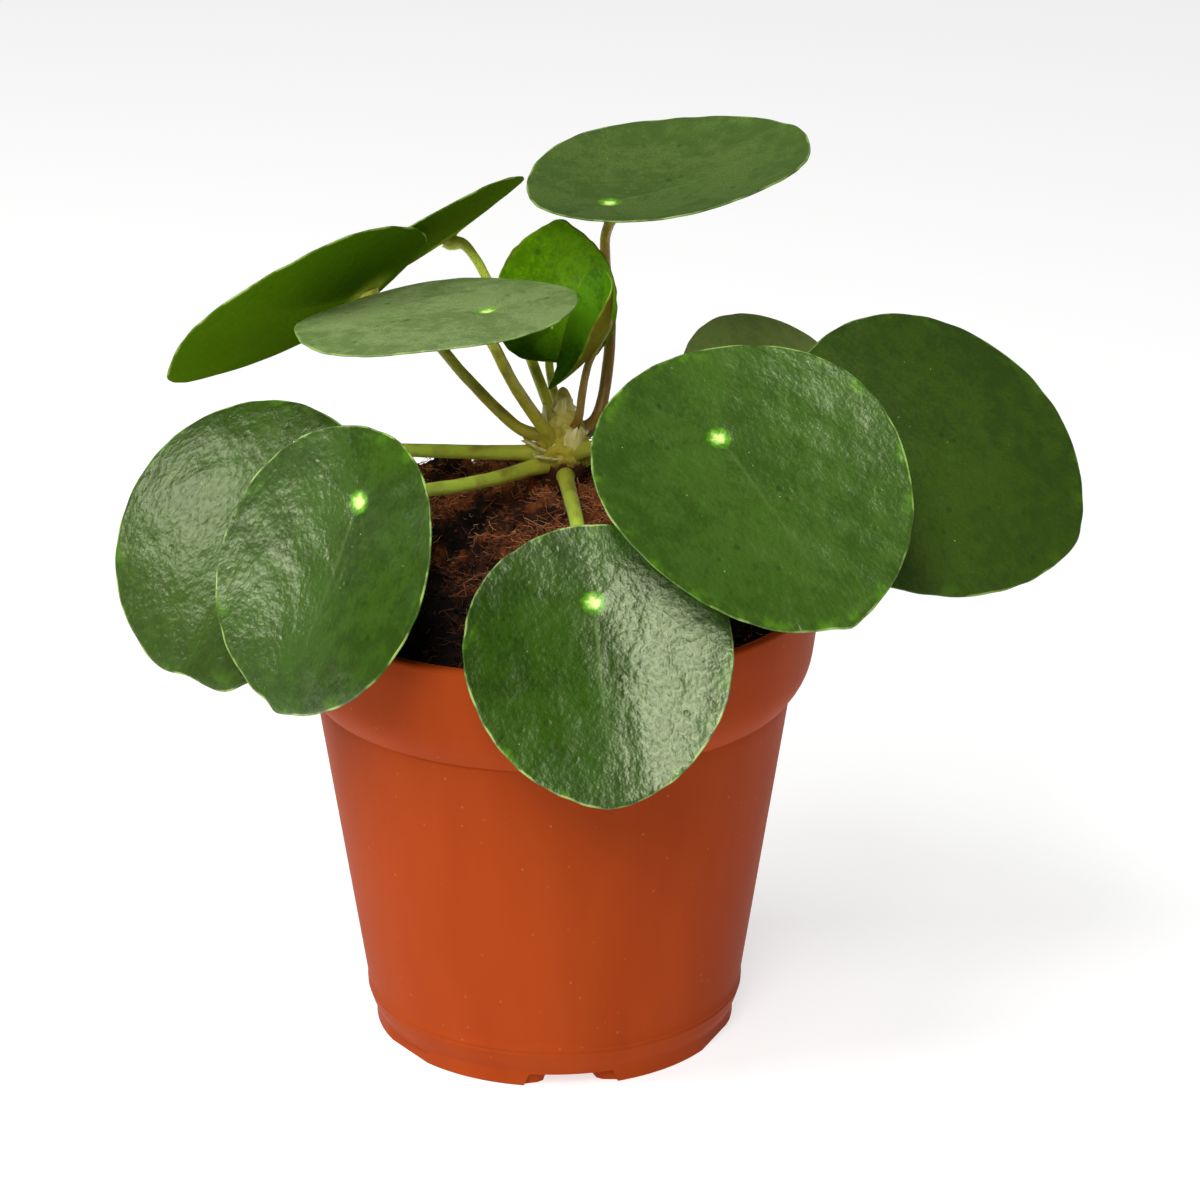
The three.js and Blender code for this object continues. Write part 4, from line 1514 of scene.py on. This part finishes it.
@dataclass
class Soil:
    """Heaped peat: the root ball, crumbs strewn on it and loose fibres."""

    pot: Pot
    side_gap: float = 0.5
    wall_height: float = 86.0
    ridge_height: float = 110.0
    ridge_y: float = 28.0
    front_fall: float = 0.0038
    skyline: tuple[Pair, ...] = (
        (-30.0, 2.5), (-24.0, 1.2), (-19.0, 0.6), (-14.0, -1.5), (-9.0, -3.3), (-5.0, -1.3), (-1.0, 0.0),
        (4.0, 0.0), (7.0, -1.6), (12.0, -0.5),
    )
    spokes: int = 220
    rings: int = 88

    def wall_radius(self) -> float:
        """Gives the heap's radius where it meets the wall.

        Returns:
            The radius in millimetres.
        """
        low, high = self.pot.inside()[5:7]
        share = (self.wall_height - low[1]) / (high[1] - low[1])
        return low[0] + (high[0] - low[0]) * share - self.side_gap

    def height(self, x: Array, y: Array) -> Array:
        """Gives the heap's height: a back ridge that falls to the front and to the wall.

        Args:
            x: place to the right.
            y: place to the back.

        Returns:
            Heights above the ground.
        """
        ridge = self.ridge_height - self.front_fall * np.maximum(0, self.ridge_y - y) ** 2
        inner = 1 - np.minimum(1, np.hypot(x, y) / self.wall_radius()) ** 10
        lump = np.sin(0.31 * x + 1.7) * np.cos(0.27 * y + 0.4) + 0.6 * np.sin(0.62 * x - 0.55 * y)
        rough = 0.8 * smooth_noise(x, y, 12, 301) + 1.1 * smooth_noise(x, y, 5.5, 302)
        rough += 0.5 * smooth_noise(x, y, 2.4, 303) - 1.1 - 0.0026 * np.minimum(0, x - 5) ** 2
        rough += 2.4 * np.exp(-((x - 2) ** 2 + (y - 10) ** 2) / 45)
        rough += np.interp(x, *zip(*self.skyline)) * np.clip((y - 8) / 16, 0, 1)
        return self.wall_height + (ridge - self.wall_height + lump - 0.9 + rough) * inner

    def top_rings(self, first: int = 0) -> list[Array]:
        """Gives the rings of the heap's top.

        Args:
            first: number of the outermost one wanted.

        Returns:
            The rings, from that one inwards.
        """
        rows = []
        for i in range(first, self.rings):
            radius = self.wall_radius() * math.cos(i / self.rings * math.pi / 2) ** 0.8
            row = ring(round_the_axis(self.spokes), radius, 0.0)
            row[:, 2] = self.height(row[:, 0], row[:, 1])
            rows.append(row)
        return rows

    def heap(self) -> Mesh:
        """Gives the whole root ball with a rough top.

        Returns:
            The closed mesh.
        """
        side = [(r - self.side_gap, z) for r, z in self.pot.inside() if z < self.wall_height]
        side[0] = (side[0][0], side[0][1] + 0.3)
        rows = [ring(round_the_axis(self.spokes), *place) for place in side] + self.top_rings()
        peak = float(self.height(np.zeros(1), np.zeros(1))[0])
        points = np.vstack([[(0.0, 0.0, side[0][1])], *rows, [(0.0, 0.0, peak)]])
        faces = shell_faces(len(rows), self.spokes)
        return new_mesh("peat_heap", points, faces, values={"tone": np.full(len(points), 0.2)})

    def crust(self, first: int) -> Mesh:
        """Gives the heap's open top alone, for things to be strewn on.

        Args:
            first: number of the ring that it starts from.

        Returns:
            The open mesh.
        """
        rows, n = self.top_rings(first), self.spokes
        faces = [
            (i * n + j, i * n + (j + 1) % n, (i + 1) * n + (j + 1) % n, (i + 1) * n + j)
            for i in range(len(rows) - 1)
            for j in range(n)
        ]
        return new_mesh("peat_crust", np.vstack(rows), faces)

    def build(self) -> None:
        """Builds the heap, its crumbs and its fibres."""
        add_piece("peat_heap", self.heap(), PEAT, ["soil"])
        crumbs, fibres = litter_tree(), fibre_tree()
        for name, first, tree, finish, inputs in (
            ("peat_crumbs", 5, crumbs, PEAT, dict(Density=520000.0, Smallest=0.0003, Largest=0.0015, Seed=3)),
            ("short_fibres", 20, fibres, FIBRE,
             dict(Density=1090000.0, Length=0.0048, Thickness=0.00011, Lift=0.0004, Seed=8)),
            ("long_fibres", 34, fibres, FIBRE,
             dict(Density=60000.0, Length=0.014, Thickness=0.00012, Lift=0.0009, Seed=12)),
        ):
            add_piece(name, grow(name, self.crust(first), tree, Material=finish.material(), **inputs), finish)


# Crown


@dataclass
class ScaleShape:
    """One scale: where it stands round the stem and how it bends."""

    heading: float
    height: float
    reach: float
    rise: float
    width: float
    curl: float
    out: float


@dataclass
class Crown:
    """Short stem with its bud, and the papery scales at the stalks' feet."""

    centre: Pair = (2.0, 10.0)
    bottom: float = 93.0
    peak: float = 128.6
    paper: float = 0.16

    def trunk(self) -> Mesh:
        """Gives the stem with ring scars and its pointed bud.

        Returns:
            The closed mesh.
        """
        profile = [
            (3.9, self.bottom + 0.2), (3.9, 110.3), (4.4, 112.0), (4.75, 113.2), (4.45, 114.2), (4.5, 115.2),
            (4.85, 116.4), (4.8, 117.5), (4.5, 118.5), (4.6, 119.6), (4.3, 120.6), (3.8, 121.6), (3.1, 122.5),
            (2.55, 123.3), (2.2, 124.1), (2.0, 125.0), (1.8, 126.0), (1.4, 127.0), (0.9, 127.9), (0.4, 128.4),
        ]
        angles = round_the_axis(48)
        rows = []
        for radius, _, z in catmull_rom([(r, 0.0, z) for r, z in profile], 90):
            wobble = 1 + 0.07 * smooth_noise(np.cos(angles) * 5, np.sin(angles) * 5 + z * 0.8, 4, 41)
            rows.append(ring(angles, radius * wobble, z, self.centre))
        points = np.vstack([[(*self.centre, self.bottom)], *rows, [(*self.centre, self.peak)]])
        return new_mesh("crown_stem", points, shell_faces(len(rows), len(angles)))

    def scales(self) -> list[ScaleShape]:
        """Gives every papery scale: bud sheath, cupped front scale, ragged ones over the stalks' feet.

        Returns:
            The scales.
        """
        table = [
            (-75, 122.4, 5.8, 84, 5.4, 0.6, 2.2), (105, 122.4, 6.2, 86, 5.0, 0.6, 2.1),
            (188, 121.6, 4.8, 80, 3.8, 0.5, 4.0), (-54, 115.8, 7.2, 70, 9.4, 0.8, 4.7),
            (-160, 115.4, 6.6, 26, 5.6, 0.5, 4.2), (-128, 114.2, 6.6, 16, 5.0, 0.5, 4.0),
            (140, 117.6, 5.4, 50, 5.0, 0.5, 4.3),
        ]
        return [ScaleShape(*row) for row in table]

    def scale_mesh(self, shape: ScaleShape) -> Mesh:
        """Makes one hollowed scale with a torn edge.

        Args:
            shape: its place and bend.

        Returns:
            The open mesh.
        """
        draw = np.random.default_rng(int(shape.heading) + 500)
        rows, columns = 16, 11
        t, s = np.meshgrid(np.linspace(0, 1, rows), np.linspace(-1, 1, columns), indexing="ij")
        half = shape.width / 2 * np.sqrt(np.clip(1 - t**2.4, 0.03, 1)) * (0.8 + 0.2 * t)
        torn = 0.16 * np.sin(t * 23 + draw.uniform(0, 6)) * np.abs(s) ** 3
        ragged = 0.3 * np.sin(s * 7 + draw.uniform(0, 6)) + 0.2 * np.sin(s * 17 + draw.uniform(0, 6))
        x = shape.reach * (t - 0.25) + ragged * t**3
        y = s * half * (1 + torn)
        z = 0.45 * shape.curl * shape.width * (s**2) * (1 - 0.5 * t) + shape.curl * 1.6 * t**2
        local = np.stack([x, y, z], -1).reshape(-1, 3)
        local = local @ turn_about("Y", -shape.rise).T + np.array([shape.out, 0, shape.height])
        local = local @ turn_about("Z", shape.heading).T + np.array([*self.centre, 0])
        faces = [
            (i * columns + j, (i + 1) * columns + j, (i + 1) * columns + j + 1, i * columns + j + 1)
            for i in range(rows - 1)
            for j in range(columns - 1)
        ]
        return new_mesh("scale", local, faces, np.stack([(s * 0.5 + 0.5).ravel(), t.ravel()], -1))

    def build(self) -> None:
        """Builds the stem and its scales in place of the stem's solid."""
        add_piece("crown_stem", self.trunk(), STEM, ["stem"])
        whole = bmesh.new()
        for shape in self.scales():
            whole.from_mesh(self.scale_mesh(shape))
        mesh = bpy.data.meshes.new("papery_scales")
        whole.to_mesh(mesh)
        whole.free()
        carrier = place_object("scales_carrier", shade_smooth(mesh))
        thicken = carrier.modifiers.new("Paper", "SOLIDIFY")
        thicken.thickness, thicken.offset = self.paper * MM, 0
        add_piece("papery_scales", settled(carrier), SCALE)


# Studio


@dataclass(frozen=True)
class Softbox:
    """A rectangular light: its azimuth and height in degrees, its sides in metres and its radiance."""

    name: str
    azimuth: float
    raised: float
    width: float
    tall: float
    radiance: float


@dataclass
class Studio:
    """Pale sweep, soft lights and the camera."""

    elevation: float = 20.6
    distance: float = 800.0
    focal_pixels: float = 4087.0
    frame_pixels: float = 1200.0
    film: float = 36.0
    target: Point = (9.2, 0.0, 88.0)
    aim: Point = (0.0, 0.0, 90.0)
    light_distance: float = 1100.0
    ambient: float = 0.08
    floor_half: float = 4000.0
    boxes: tuple[Softbox, ...] = (
        Softbox("left_softbox", -78.0, 38.0, 0.56, 0.56, 8.0),
        Softbox("front_softbox", -10.0, 40.0, 0.36, 0.50, 13.0),
        Softbox("top_softbox", -25.0, 68.0, 0.32, 0.32, 13.0),
    )

    def lay_paper(self) -> None:
        """Lays the paper that the pot stands on."""
        half = self.floor_half
        corners = [(-half, -half, 0.0), (half, -half, 0.0), (half, half, 0.0), (-half, half, 0.0)]
        paper = new_mesh("paper_floor", corners, [(0, 1, 2, 3)])
        paper.materials.append(PAPER.material())
        place_object("paper_floor", paper)

    def light(self) -> None:
        """Sets the world's even light and hangs the soft boxes, each facing the plant."""
        world = bpy.data.worlds.new("studio")
        world.use_nodes = True
        back = world.node_tree.nodes["Background"]
        back.inputs["Color"].default_value = linear("#FFFFFF")
        back.inputs["Strength"].default_value = self.ambient
        bpy.context.scene.world = world
        bpy.context.scene.view_settings.view_transform = "Standard"
        for box in self.boxes:
            lamp = bpy.data.lights.new(box.name, "AREA")
            lamp.shape, lamp.size, lamp.size_y = "RECTANGLE", box.width, box.tall
            lamp.energy = math.pi * box.width * box.tall * box.radiance
            across, raised = math.radians(box.azimuth), math.radians(box.raised)
            level = math.cos(raised)
            way = np.array((math.sin(across) * level, -math.cos(across) * level, math.sin(raised)))
            hung = place_object(box.name, lamp)
            hung.location = GROUND.metres(way * self.light_distance + self.aim)
            facing = Vector(GROUND.metres(self.aim)) - hung.location
            hung.rotation_euler = facing.to_track_quat("-Z", "Y").to_euler()

    def stand_camera(self) -> None:
        """Stands the camera where the photograph was taken from."""
        raised = math.radians(self.elevation)
        data = bpy.data.cameras.new("camera")
        data.sensor_width, data.lens = self.film, self.focal_pixels / self.frame_pixels * self.film
        data.clip_start, data.clip_end = 0.01, 20.0
        camera = place_object("camera", data)
        away = Vector((0, -math.cos(raised), math.sin(raised))) * self.distance * MM
        camera.location = Vector(GROUND.metres(self.target)) + away
        camera.rotation_euler = (math.radians(90) - raised, 0, 0)
        bpy.context.scene.camera = camera

    def build(self) -> None:
        """Sets up the paper, the lights and the camera."""
        self.lay_paper()
        self.light()
        self.stand_camera()


def main() -> None:
    """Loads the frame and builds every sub-assembly in order."""
    logging.basicConfig(level=logging.INFO, format="%(name)s %(message)s")
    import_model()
    GROUND.read()
    pot = Pot()
    for assembly in (pot, Soil(pot), Crown(), Foliage(), Studio()):
        assembly.build()


if __name__ == "__main__":
    main()
